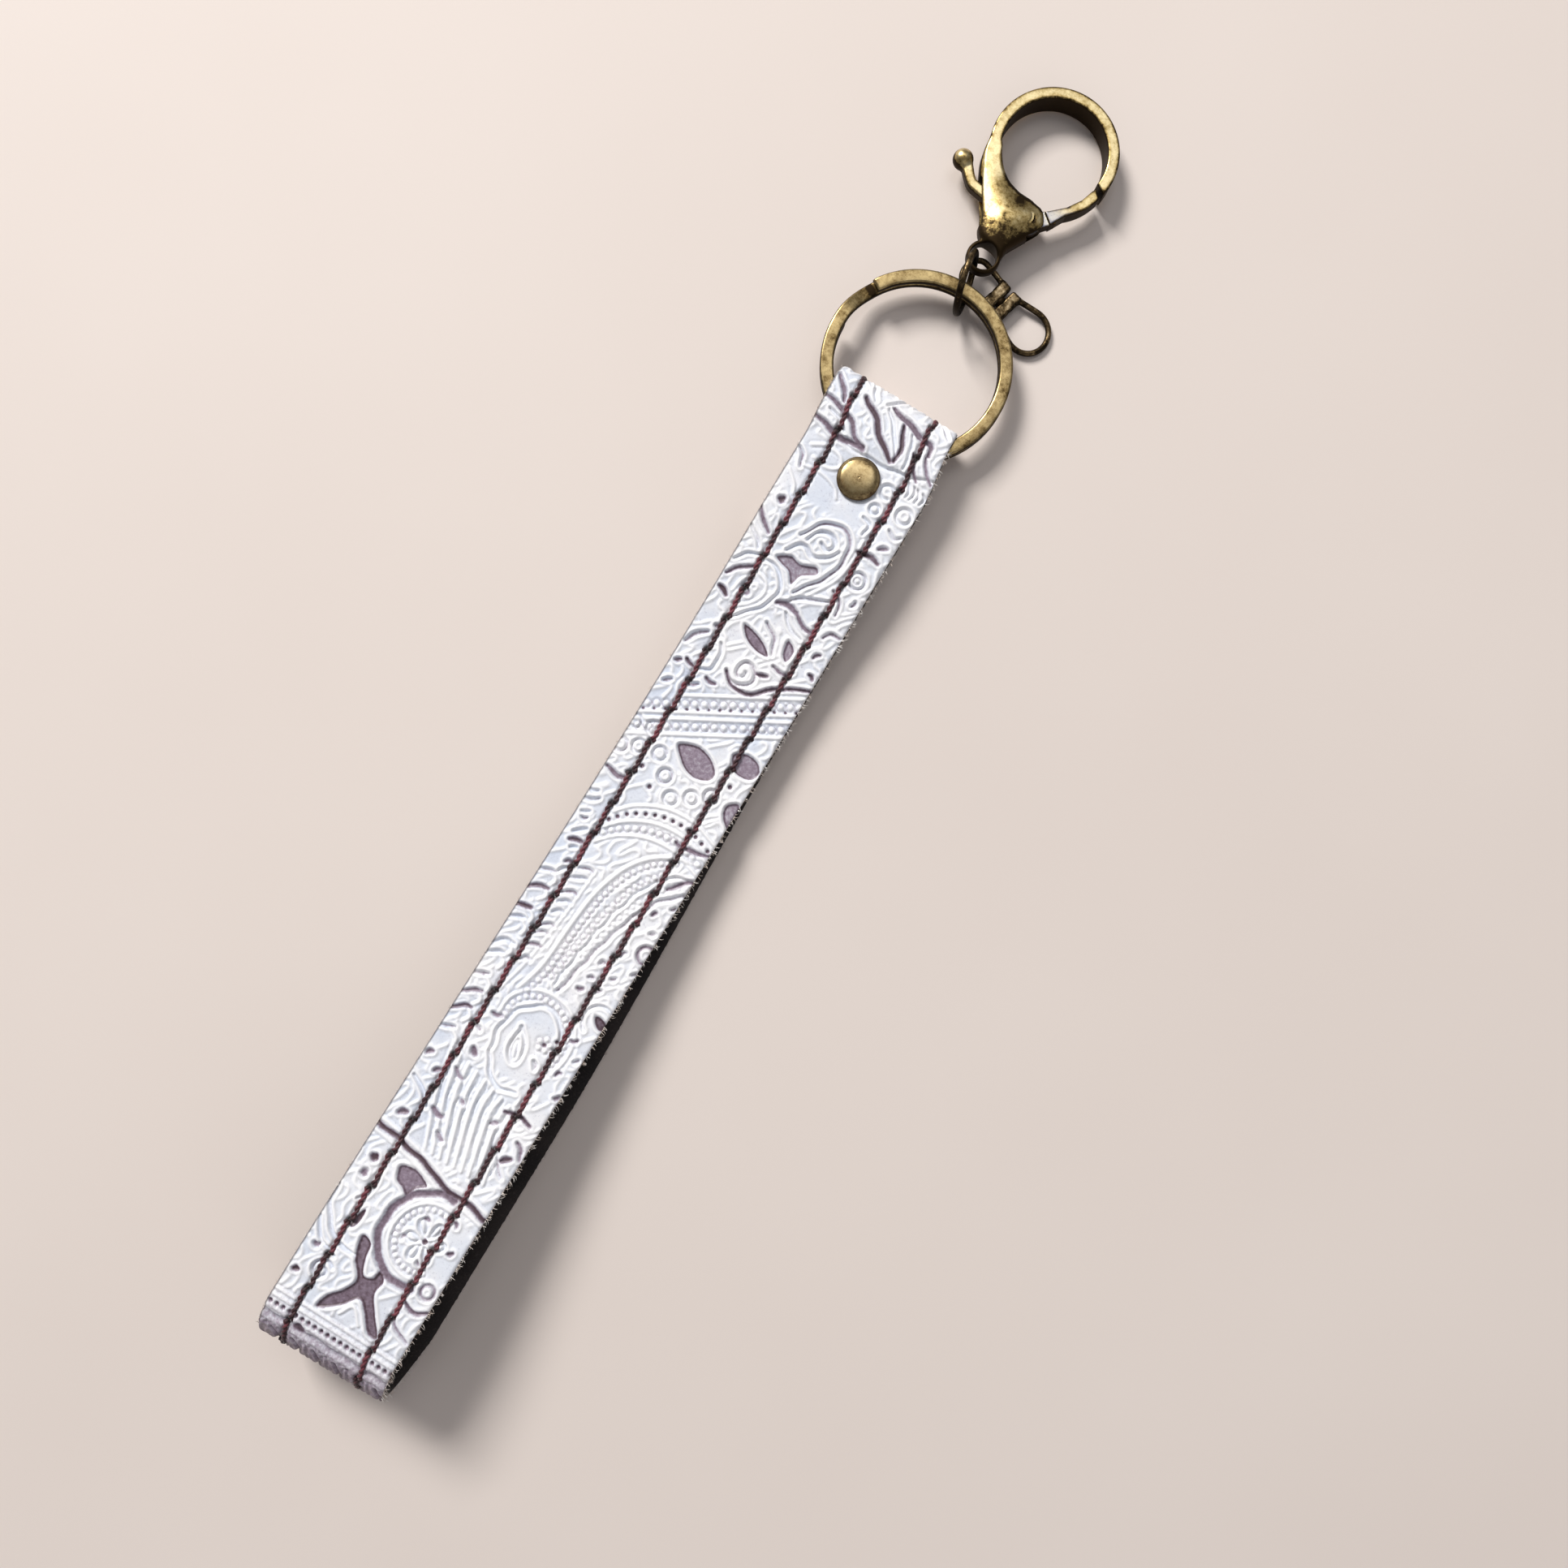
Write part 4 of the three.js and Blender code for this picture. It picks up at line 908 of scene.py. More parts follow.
def wavy_filler():
    """Faint winding ridges that fill the ground between the motifs."""
    gx, gy = np.meshgrid(MAP_X, MAP_Y)
    warp = 1.3 * np.sin(0.9 * gx + 0.35 * gy) + 1.1 * np.sin(0.52 * gy - 0.6 * gx + 1.0)
    field = np.sin(1.25 * gx + warp) + np.sin(1.05 * gy + 0.8 * warp + 0.3 * gx)
    field += 0.8 * np.sin(2.1 * gx - 1.6 * gy + 1.4 * np.sin(0.4 * gy))
    slope_y, slope_x = np.gradient(field, CELL)
    away = np.abs(field) / np.maximum(np.hypot(slope_x, slope_y), 0.35)
    lines = np.exp(-(away / 0.34) ** 2)
    room = 1 - np.clip(1.6 * np.maximum(pressed, lifted), 0, 1)
    plain = step_between(gy, -24.5, -26.5) + step_between(gy, -15, -13)
    for (cx, cy), r in ((EYE, 7.0), (MEDALLION, 7.8)):
        room = room * step_between(np.hypot(gx - cx, gy - cy), r - 0.5, r + 0.5)
    return lines * room * np.clip(plain, 0, 1)


filler = wavy_filler()
lifted = np.maximum(lifted, 0.85 * filler)


def look_up(field, x, y):
    """Bilinear reading of a map at x, y."""
    fx = np.clip((x - MAP_X[0]) / CELL, 0, len(MAP_X) - 1.001)
    fy = np.clip((y - MAP_Y[0]) / CELL, 0, len(MAP_Y) - 1.001)
    j, i = fx.astype(int), fy.astype(int)
    u, v = fx - j, fy - i
    top = field[i, j] * (1 - u) + field[i, j + 1] * u
    low_row = field[i + 1, j] * (1 - u) + field[i + 1, j + 1] * u
    return top * (1 - v) + low_row * v


def pattern_at(s):
    """The map's y for arc length s, and whether it is read left to right."""
    front = -RING_RADIUS - (s - FRONT_START)
    middle = (LOOP_START + LOOP_END) / 2
    bottom = -RING_RADIUS - (middle - FRONT_START)
    behind = s > middle
    y = np.where(behind, bottom + (s - middle), front)
    y = np.where(y > 7, 14 - y, y)
    return y, np.where(behind, -1.0, 1.0)


STITCH_START = {-1: -4.3, 1: -1.4}


def stitch_ends(row):
    """Arc lengths of the needle holes of the row on the left (-1) or right (1)."""
    first = FRONT_START - RING_RADIUS - STITCH_START[row]
    count = int(first // STITCH)
    return np.arange(first - count * STITCH + 0.4, TOTAL_RUN - 0.4, STITCH)


LIFT_HEIGHT, PRESS_DEPTH, HOLE_DEPTH = 0.30, 0.42, 0.42
HIGHEST = -0.32
THREAD_DENT = 0.26
THREAD_SINK = 0.5
EDGE_ROUND = 0.30
DENT_REACH = 0.62
HOLE_ACROSS, HOLE_ALONG = 0.72, 0.55
# the ring that the rivet's cap presses into the leather
SEAT_RADIUS, SEAT_REACH, SEAT_DEPTH = 3.6, 0.9, 0.10
# how much darker the leather is where the wrist end folds: painted shade where the strip turns away from the
# light, with a darker finish there
FOLD_SHADE_AND_TINT = 0.42


def rests(s):
    """1 where the strip lies on the table, so that nothing on it may stand proud."""
    return step_between(s, LOOP_END - 9, LOOP_END - 3)


def outer_face(x, s):
    """Depth, recess, raised, and the painted hole shade with the dark left edge, of the outer face at grids x
    and s.
    """
    y, flip = pattern_at(s)
    up, down, tone = (look_up(m, x * flip, y) for m in (lifted, pressed, shade))
    depth = PRESS_DEPTH * down - LIFT_HEIGHT * up * (1 - down)
    dent = np.zeros_like(depth)
    hole = np.zeros_like(depth)
    for row in (-1, 1):
        off = x - row * ROW_X
        dent = np.maximum(dent, np.exp(-(off / DENT_REACH) ** 4))
        ends = stitch_ends(row)
        gap = np.abs((s - ends[0] + STITCH / 2) % STITCH - STITCH / 2)
        hole = np.maximum(hole, np.exp(-((off / HOLE_ACROSS) ** 2 + (gap / HOLE_ALONG) ** 2) ** 1.5))
    depth = depth + LIFT_HEIGHT * rests(s)
    depth = depth * (1 - dent) + (THREAD_DENT + THREAD_SINK * rests(s)) * dent + HOLE_DEPTH * hole
    half = half_width(s)
    rim = np.clip((np.abs(x) - half + EDGE_ROUND * 2.2) / (EDGE_ROUND * 2.2), 0, 1)
    depth = depth + EDGE_ROUND * rim ** 2.4
    line_y, line_z = along(s)[0], along(s)[1]
    seat = np.hypot(x, line_y - RIVET_Y)
    top = line_z > 7
    depth = depth + np.where(top, SEAT_DEPTH * np.exp(-((seat - SEAT_RADIUS) / SEAT_REACH) ** 2), 0)
    # painted shade in the needle holes and along the thread's dent, with the left edge's own dark colour
    hole_shade_and_dark_edge = np.clip(hole + 0.30 * dent + 0.9 * step_between(rim, 0.25, 0.8) * (x < 0), 0, 1)
    fold = step_between(s, LOOP_START - 4, LOOP_START + 11)
    fold = fold * (1 - step_between(s, LOOP_END - 8, LOOP_END + 4))
    # the fold's darkening added here is painted shade, with some darker finish
    recess = np.clip(tone * 1.05 + FOLD_SHADE_AND_TINT * fold, 0, 1)
    raised = np.clip(up * (1 - tone), 0, 1)
    return np.maximum(depth, HIGHEST), recess, raised, hole_shade_and_dark_edge


FAR = 9  # points across the plain face


def strip_mesh(name, material, side_material, s, x_share, top_depth, bottom_depth, attributes=None,
               beyond=0.0):
    """A closed strip: a fine face, two sides and a plain other face. Its points are those of the fine
    face, then the plain face, then a middle row along each side. kinds are the material slots."""
    n, m = len(s), len(x_share)
    half = half_width(s) + beyond
    grid_s = np.repeat(s[:, None], m, 1)
    grid_x = half[:, None] * x_share[None, :]
    near_face = strip_points(grid_x, grid_s, top_depth(grid_x, grid_s)).reshape(-1, 3)
    few = np.linspace(-1, 1, FAR)
    far_x = half[:, None] * few[None, :] * 0.997
    far_s = np.repeat(s[:, None], FAR, 1)
    far_face = strip_points(far_x, far_s, bottom_depth(far_x, far_s)).reshape(-1, 3)
    mid_depth = 0.5 * (top_depth(grid_x, grid_s)[:, [0, -1]] + bottom_depth(far_x, far_s)[:, [0, -1]])
    wobble = 0.06 * np.sin(s * 3.1) * np.sin(s * 1.3 + 1) + 0.04 * np.sin(s * 7.7)
    edge_x = np.stack([-half - 0.02 - wobble, half + 0.02 + wobble], 1)
    edges = strip_points(edge_x, np.repeat(s[:, None], 2, 1), mid_depth).reshape(-1, 3)
    verts = np.concatenate([near_face, far_face, edges])
    base, rim = n * m, n * m + n * FAR
    i = np.arange(n - 1)
    quads, kinds = [], []

    def add(a, b, c, d, kind):
        quads.append(np.stack([a, b, c, d], -1).reshape(-1, 4))
        kinds.append(np.full(a.size, kind))

    ii, jj = np.meshgrid(i, np.arange(m - 1), indexing="ij")
    a = ii * m + jj
    add(a, a + 1, a + m + 1, a + m, 0)
    ii, jj = np.meshgrid(i, np.arange(FAR - 1), indexing="ij")
    a = base + ii * FAR + jj
    add(a, a + FAR, a + FAR + 1, a + 1, 2)
    add(i * m, (i + 1) * m, rim + (i + 1) * 2, rim + i * 2, 1)
    add(rim + i * 2, rim + (i + 1) * 2, base + (i + 1) * FAR, base + i * FAR, 1)
    a = i * m + m - 1
    add(a, rim + i * 2 + 1, rim + (i + 1) * 2 + 1, a + m, 1)
    a = base + i * FAR + FAR - 1
    add(rim + i * 2 + 1, a, a + FAR, rim + (i + 1) * 2 + 1, 1)
    quads = np.concatenate(quads)
    kinds = np.concatenate(kinds)
    # ends, as fans of triangles between the fine and the plain face
    tris = []
    for k, flip in ((0, 1), (n - 1, -1)):
        upper, lower = [k * m + j for j in range(m)], [base + k * FAR + j for j in range(FAR)]
        for j in range(m - 1):
            q = lower[int(round((FAR - 1) * j / (m - 1)))]
            r = lower[int(round((FAR - 1) * (j + 1) / (m - 1)))]
            tris.append((upper[j + 1], upper[j], q)[::flip])
            if r != q:
                tris.append((upper[j + 1], q, r)[::flip])
        tris.append((upper[0], rim + k * 2, lower[0])[::flip])
        tris.append((upper[-1], lower[-1], rim + k * 2 + 1)[::flip])
    obj = fast_object(name, verts, quads, material, tris)
    obj.data.materials.append(side_material)
    obj.data.materials.append(SUEDE if material is LEATHER else material)
    index = np.concatenate([kinds, np.full(len(tris), 1)]).astype(np.int32)
    obj.data.polygons.foreach_set("material_index", index[: len(obj.data.polygons)])
    if attributes:
        values = attributes(grid_x, grid_s)
        for key, grid in zip(("recess", "raised", "hole_shade_and_dark_edge"), values[1:]):
            attribute(obj, key, np.concatenate([grid.ravel(), np.zeros(n * (FAR + 2))]))
    return obj


FINE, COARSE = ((0.2, 0.42))


def stations():
    """Arc lengths, close together on the front and the two folds, wider behind."""
    marks = [(0.0, FRONT_START - 9, COARSE), (FRONT_START - 9, LOOP_END - 6, FINE),
             (LOOP_END - 6, TOTAL_RUN, COARSE)]
    rows = [np.linspace(a, b, int((b - a) / step), endpoint=False) for a, b, step in marks]
    return np.concatenate([*rows, [TOTAL_RUN]])


ACROSS = np.linspace(-1, 1, 125)
LINING_STEP, LINING_ACROSS, LINING_OVERHANG = 0.5, 61, 0.12

strap_top = strip_mesh(
    "strap_leather", LEATHER, EDGE, stations(), ACROSS,
    lambda x, s: outer_face(x, s)[0], lambda x, s: layer_depths(s)[0], outer_face)
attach(strap_top, "strap")
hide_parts("strap_outer")


def lining_face(x, s):
    """Depth of the lining's back, with a dent along each row of thread and a slight nap."""
    depth = layer_depths(s)[2]
    dent = np.zeros_like(x)
    for row in (-1, 1):
        dent = np.maximum(dent, np.exp(-((x - row * ROW_X) / 0.5) ** 4))
    nap = 0.03 * np.sin(5.1 * x + 3 * np.sin(1.7 * s)) * np.sin(4.3 * s)
    return depth - 0.22 * dent + nap


lining_piece = strip_mesh(
    "strap_lining_suede", SUEDE, SUEDE, np.linspace(0, TOTAL_RUN, int(TOTAL_RUN / LINING_STEP)),
    np.linspace(-1, 1, LINING_ACROSS), lambda x, s: layer_depths(s)[1], lining_face,
    beyond=LINING_OVERHANG)
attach(lining_piece, "strap")
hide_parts("strap_lining")


# ---- Stitches ----

TWIST_PITCH = 2.5
HOLE_REACH = 0.30


def thread_rows(name, row, depth_of, sink, ply, nodes, sides=6, steps=15):
    """Two twisted plies per stitch, of radius ply, dipping by sink into the needle holes at both ends."""
    pieces, thread_hole_shades = [], []
    ends = stitch_ends(row)
    t = np.linspace(0, 1, steps)
    for k, start in enumerate(ends[:-1]):
        s = start + HOLE_REACH * 0.2 + (STITCH - HOLE_REACH * 0.4) * t
        dive = np.clip(1 - np.minimum(t, 1 - t) / 0.15, 0, 1) ** 1.5
        depth = depth_of(s) + sink * dive
        lean = 0.62 * (t - 0.5)
        end_gap = np.minimum(t, 1 - t)
        swell = 1 + 0.45 * np.exp(-((end_gap - 0.07) / 0.06) ** 2)
        for strand in (0, 1):
            phase = 2 * math.pi * (t * STITCH / TWIST_PITCH) + math.pi * strand + 0.7 * k
            swing = ply * 0.92 * swell
            x = row * ROW_X + lean + swing * np.cos(phase)
            d = depth - math.copysign(1, sink) * swing * np.sin(phase) * 0.7
            thick = ply * swell
            rings = [strip_points(x + thick * math.cos(a), s, d + thick * math.sin(a))
                     for a in (2 * math.pi * q / sides for q in range(sides))]
            # painted shade towards each end of the stitch, where it dives into the hole
            thread_hole_shades.append(np.repeat(np.exp(-(end_gap / 0.12) ** 2), sides))
            pieces.append(sweep_rings(list(np.stack(rings, 1))))
    verts, faces = merged(pieces)
    obj = make_object(name, verts, faces, THREAD)
    attribute(obj, "thread_hole_shade", np.concatenate(thread_hole_shades))
    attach(obj, "strap")
    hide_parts(*nodes)


NEEDLE_PLY, NEEDLE_DEPTH = 0.28, 0.08
BOBBIN_PLY, BOBBIN_HEIGHT = 0.20, 0.2
for side_name, row in (("left", -1), ("right", 1)):
    thread_rows(f"needle_stitches_{side_name}", row,
                lambda s: NEEDLE_DEPTH + THREAD_SINK * rests(s), 0.4, NEEDLE_PLY,
                [f"stitch_thread_{side_name}"])
    thread_rows(f"bobbin_stitches_{side_name}", row,
                lambda s: layer_depths(s)[2] - BOBBIN_HEIGHT, -0.3, BOBBIN_PLY,
                [f"bobbin_thread_{side_name}"],
                sides=5, steps=9)


# ---- Fibres that stand off the cut edges ----

FIBRE_COUNT = 1500
FIBRE_RADIUS = 0.065
FIBRES_ON_RIGHT = 0.62
TABLE_CLEARANCE = 0.02
rng = np.random.default_rng(7)
# the fibres use the draws that follow this many
rng.normal(0, 1, (len(MAP_Y) // 6 + 2, len(MAP_X) // 6 + 2))


def edge_fibres():
    """Short bent hairs, most of them along the front and on the right edge."""
    pieces = []
    y_front = (FRONT_START, LOOP_END)
    for k in range(FIBRE_COUNT):
        s0 = rng.uniform(*y_front) if k % 4 else rng.uniform(0, TOTAL_RUN)
        side = 1 if rng.random() < FIBRES_ON_RIGHT else -1
        outer = layer_depths(np.array([s0]))[0][0]
        d0 = rng.uniform(0.12, 0.8 * outer)
        length = rng.uniform(0.2, 1.3) * (1 if side > 0 else 0.5)
        bend, rise = rng.uniform(-0.7, 0.7), rng.uniform(-0.45, 0.1)
        t = np.linspace(0, 1, 5)
        x = side * (half_width(np.array([s0]))[0] - 0.05 + length * t * (1 - 0.25 * t))
        s = np.clip(s0 + bend * t ** 2, 0, TOTAL_RUN)
        d = d0 + rise * t ** 2
        r = FIBRE_RADIUS * (1 - 0.6 * t)
        rings = []
        for q in range(4):
            a = math.pi * q / 2
            ring = strip_points(x + 0 * t, s + r * math.cos(a), d + r * math.sin(a))
            ring[:, 2] = np.maximum(ring[:, 2], TABLE_CLEARANCE * MM)
            rings.append(ring)
        pieces.append(sweep_rings(list(np.stack(rings, 1))))
    verts, faces = merged(pieces)
    obj = make_object("edge_fibres", verts, faces, FIBRE)
    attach(obj, "strap")


edge_fibres()


# ---- Wear and patina on metal, with painted shade and a painted reflection ----

WEAR_GAIN = 9.0


def age(obj, matrix, passes=14, painted_reflection=None, painted_shade_and_patina=None):
    """Per-point values for aged_brass: wear is how far a point stands out of its surroundings,
    and wall is 1 on faces that stand upright in the part's own frame, which nothing rubs.
    Optional functions of points and normals add a painted bluish reflection, and painted shade with some
    patina to wall."""
    mesh = obj.data
    count = len(mesh.vertices)
    co = np.empty(count * 3, np.float32)
    mesh.vertices.foreach_get("co", co)
    co = co.reshape(-1, 3)
    edges = np.empty(len(mesh.edges) * 2, np.int32)
    mesh.edges.foreach_get("vertices", edges)
    edges = edges.reshape(-1, 2)
    degree = np.bincount(edges.ravel(), minlength=count)[:, None]
    smooth = co.copy()
    for _ in range(passes):
        total = np.zeros_like(smooth)
        for axis in range(3):
            total[:, axis] = (np.bincount(edges[:, 0], smooth[edges[:, 1], axis], count)
                              + np.bincount(edges[:, 1], smooth[edges[:, 0], axis], count))
        smooth = total / np.maximum(degree, 1)
    normal = np.empty(count * 3, np.float32)
    mesh.vertices.foreach_get("normal", normal)
    normal = normal.reshape(-1, 3)
    upright = 1 - np.abs(normal @ np.array(matrix)[:3, 2])
    attribute(obj, "wear", np.clip(((co - smooth) * normal).sum(1) / MM * WEAR_GAIN, -1, 1))
    wall = step_between(upright, 0.30, 0.85)
    if painted_shade_and_patina is not None:
        # painted shade from the part's own mask is added to the patina on upright faces
        wall = np.clip(wall + painted_shade_and_patina(co / MM - ORIGIN, normal), 0, 1.3)
    attribute(obj, "wall", wall)
    attribute(obj, "painted_reflection", np.zeros(count) if painted_reflection is None else painted_reflection(co / MM - ORIGIN, normal))


# ---- Rivet ----

CAP_SEAT = AT_RIVET + 0.1


def centred(points):
    return place(points + np.array([0, RIVET_Y, 0]))


cap_profile = [(2.3, CAP_SEAT), (3.5, CAP_SEAT - 0.02), (3.85, CAP_SEAT + 0.06), (3.98, CAP_SEAT + 0.22),
               (3.96, CAP_SEAT + 0.42), (3.8, CAP_SEAT + 0.62), (3.5, CAP_SEAT + 0.82)]
cap_profile += [(3.5 * math.cos(a), CAP_SEAT + 0.82 + 0.55 * math.sin(a)) for a in np.linspace(0.2, 1.5, 9)]
cap_profile += [(0.02, CAP_SEAT + 1.38), (0.02, CAP_SEAT + 1.1), (1.6, CAP_SEAT + 1.03),
                (2.9, CAP_SEAT + 0.72), (3.5, CAP_SEAT + 0.4), (3.5, CAP_SEAT + 0.25), (2.3, CAP_SEAT + 0.25)]
base_profile = [(0.02, 0.03), (2.4, 0.03), (3.0, 0.10), (3.6, 0.30), (3.92, 0.6), (3.99, 0.85), (3.8, 1.2),
                (2, 1.2), (2, 0.9), (3.4, 0.9), (3.5, 0.75), (3.2, 0.55), (2.5, 0.33), (0.02, 0.33)]
for name, profile, node in (("rivet_cap", cap_profile, "rivet_cap_shell"),
                            ("rivet_base", base_profile, "rivet_base_shell")):
    verts, faces = lathe(profile)
    piece = make_object(name, centred(verts), faces, CAP_BRASS)
    age(piece, Matrix.Identity(4))
    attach(piece, "strap")
    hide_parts(node)


# ---- Rings ----

def rounded_box(width, height, radius, corner=5):
    """A closed outline of (across, up), with round corners."""
    out = []
    for k, (sx, sy) in enumerate(((1, 1), (-1, 1), (-1, -1), (1, -1))):
        for q in range(corner):
            a = math.radians(90 * k + 90 * q / (corner - 1))
            out.append((sx * (width / 2 - radius) + radius * math.cos(a),
                        sy * (height / 2 - radius) + radius * math.sin(a)))
    return np.array(out)


SPLIT_RADIUS, SPLIT_WIDTH, COIL_HEIGHT, COIL_GAP = 16.5, 2.5, 1.4, 0.1
SPLIT_MATRIX = Matrix.Translation((-1.9, 6.9, 4.3)) @ Euler((math.radians(-0.6), 0, 0)).to_matrix().to_4x4()


def moved(points, matrix):
    m = np.array(matrix)
    return points @ m[:3, :3].T + m[:3, 3]


SPLIT_START, SPLIT_ROWS, SPLIT_RAMP = 150.6, 420, 26
SPLIT_TRIM = 2.4


def ring_end_shade_and_mottle(points, _):
    """Painted shade where the wire's ends meet the turn beside them, with a faint mottled patina along the
    wire.
    """
    local = moved(points, SPLIT_MATRIX.inverted())
    angle = np.degrees(np.arctan2(local[:, 1], local[:, 0]))
    # painted shade in the gap at the wire's ends
    near_end = np.exp(-((angle - 151.2) / 1.9) ** 2) + 0.25 * np.exp(-((angle - 176) / 1.5) ** 2)
    mottled = 0.07 * np.sin(0.11 * angle + 1) * np.sin(0.04 * angle)
    return 1.2 * near_end + mottled


def split_ring():
    """Flat wire in two turns, which changes level over one short ramp."""
    section = rounded_box(SPLIT_WIDTH, COIL_HEIGHT, 0.42)
    rings = []
    total, last = 720 - SPLIT_RAMP, SPLIT_ROWS - 1
    for i in range(SPLIT_ROWS):
        turned = SPLIT_TRIM + (total - 2 * SPLIT_TRIM) * i / last
        level = float(step_between(turned, 360 - SPLIT_RAMP, 360))
        a = math.radians(SPLIT_START - turned)
        rise = (COIL_HEIGHT + COIL_GAP) * (0.5 - level)
        shrink = 1 - 0.10 * max(0, 1 - min(i, last - i) / 1.5)
        rings.append(np.array([((SPLIT_RADIUS + u * shrink) * math.cos(a),
                                (SPLIT_RADIUS + u * shrink) * math.sin(a), rise + v * shrink)
                               for u, v in section]))
    verts, faces = sweep_rings(rings)
    obj = make_object("split_ring_wire", place(moved(verts, SPLIT_MATRIX)), faces, RING_BRASS)
    age(obj, SPLIT_MATRIX, 3, painted_shade_and_patina=ring_end_shade_and_mottle)
    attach(obj, "key_ring")
    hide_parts("split_ring")


JUMP_MATRIX = (Matrix.Translation((-2, 24.3, 6.05)) @ Matrix.Rotation(math.radians(12), 4, "Z")
               @ Matrix.Rotation(math.radians(-8), 4, "Y"))


JUMP_RADIUS, JUMP_WIRE, JUMP_ROWS, JUMP_CUT = 5.42, 1.25, 150, 207


def jump_ring():
    """Round wire in one turn, with a fine cut."""
    rings, last = [], JUMP_ROWS - 1
    for i in range(JUMP_ROWS):
        a = math.radians(JUMP_CUT + 356 * i / last)
        w = JUMP_WIRE / 2 * (1 - 0.12 * max(0, 1 - min(i, last - i) / 1.5))
        rings.append(np.array([(w * math.sin(q), (JUMP_RADIUS + w * math.cos(q)) * math.cos(a),
                                (JUMP_RADIUS + w * math.cos(q)) * math.sin(a))
                               for q in np.linspace(0, 2 * math.pi, 20, endpoint=False)]))
    verts, faces = sweep_rings(rings)
    obj = make_object("jump_ring_wire", place(moved(verts, JUMP_MATRIX)), faces, DARK_BRASS)
    age(obj, Matrix.Identity(4), 3)
    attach(obj, "jump_ring")
    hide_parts("jump_ring")


split_ring()
jump_ring()


# ---- Castings, as distance fields turned into meshes ----

def outline_distance(outline, gx, gy):
    """Signed distance to a closed outline, negative inside."""
    p = np.asarray(outline, float)
    best = np.full(gx.shape, 1e9)
    inside = np.zeros(gx.shape, bool)
    for k in range(len(p)):
        (x0, y0), (x1, y1) = p[k - 1], p[k]
        dx, dy = x1 - x0, y1 - y0
        t = np.clip(((gx - x0) * dx + (gy - y0) * dy) / (dx * dx + dy * dy + 1e-12), 0, 1)
        best = np.minimum(best, (gx - x0 - t * dx) ** 2 + (gy - y0 - t * dy) ** 2)
        if y0 != y1:
            inside ^= ((y0 > gy) != (y1 > gy)) & (gx < dx * (gy - y0) / dy + x0)
    return np.where(inside, -1, 1) * np.sqrt(best)


def slab(d2, z, half, r):
    """An outline distance made solid: half high, with edges rounded by r."""
    a, b = d2 + r, np.abs(z) - half + r
    return np.minimum(np.maximum(a, b), 0) + np.hypot(np.maximum(a, 0), np.maximum(b, 0)) - r


def soft_union(a, b, k):
    """a and b joined, with a fillet of about k."""
    h = np.clip(0.5 + 0.5 * (b - a) / k, 0, 1)
    return b * (1 - h) + a * h - k * h * (1 - h)


def soft_cut(a, b, k):
    """a without b."""
    return -soft_union(-a, b, k)


def softened(values, passes):
    """A map blurred by averaging each cell with its neighbours."""
    for _ in range(passes):
        padded = np.pad(values, 1, mode="edge")
        values = (padded[:-2, 1:-1] + padded[2:, 1:-1] + padded[1:-1, :-2] + padded[1:-1, 2:]) / 4
    return values


class Field:
    """A block of cells over which distances are computed."""

    def __init__(self, lo, hi, cell):
        self.lo, self.cell = np.array(lo, float), cell
        axes = [np.arange(a, b + cell, cell) for a, b in zip(lo, hi)]
        self.x, self.y = np.meshgrid(axes[0], axes[1], indexing="ij")
        self.z = axes[2][None, None, :]

    def flat(self, values):
        return values[:, :, None]

    def mesh(self, distance):
        grid = openvdb.FloatGrid()
        grid.background = 1.0
        grid.copyFromArray(np.ascontiguousarray(np.clip(distance, -1, 1), np.float32))
        points, tris, quads = grid.convertToPolygons(isovalue=0.0, adaptivity=0.0)
        return points * self.cell + self.lo, tris, quads[:, ::-1]


def casting(name, field, distance, matrix, material, body, nodes, painted_reflection=None, painted_shade_and_patina=None):
    """The surface where distance is 0, as a brass piece of the assembly."""
    points, tris, quads = field.mesh(distance)
    tris = tris[:, ::-1] if len(tris) else None
    obj = fast_object(name, place(moved(points, matrix)), quads, material, tris)
    age(obj, matrix, painted_reflection=painted_reflection, painted_shade_and_patina=painted_shade_and_patina)
    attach(obj, body)
    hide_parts(*nodes)


def arc_points(cx, cy, r, a, b, n):
    return [(cx + r * math.cos(t), cy + r * math.sin(t)) for t in np.radians(np.linspace(a, b, n))]


CLASP_MATRIX = (Matrix.Translation((-1.8, 30.4, 4.5)) @ Matrix.Rotation(math.radians(-2.7), 4, "Z")
                @ Matrix.Rotation(math.radians(-3.1), 4, "X"))
HOOK_Y, HOOK_OUTER, HOOK_INNER = 23.3, 12.1, 9.9
PIVOT = (3.2, 10.3)
KNOB, KNOB_RADIUS = (-13.3, 13.4), 1.93
# half heights, and how round the edges are
HOOK_HALF, BODY_HALF, GATE_HALF, LEVER_HALF, POCKET_HALF = 2.35, 3.19, 1.6, 1.1, 1.35
HOOK_ROUND, BODY_ROUND = 0.36, 1.1
EYE_OUTER, EYE_INNER = 3.2, 2.45
CAST_CELL = 0.13
BODY_OUTLINE = [(2.4, 1.6), (3, 3.4), (4.4, 6.4), (6.3, 10.3), (5.7, 12), (4.4, 13.3), (2.5, 13.6),
                (-1.2, 13.5), (-3.8, 14.1), (-6, 15.4), (-7.8, 17.4), (-8.9, 19), (-10.9, 18.4),
                (-10.8, 16), (-9.6, 13.2), (-7.4, 9.7), (-5, 6.2), (-2.6, 2.6)]
POCKET_OUTLINE = [(-12, 12.4), (-8, 11.8), (-1, 11.8), (1.2, 13), (2.4, 16), (8, 16), (8, 8.6), (4.5, 7.2),
                  (1.5, 7.2), (-1, 6.2), (-4.4, 3.9), (-12, 3.9)]


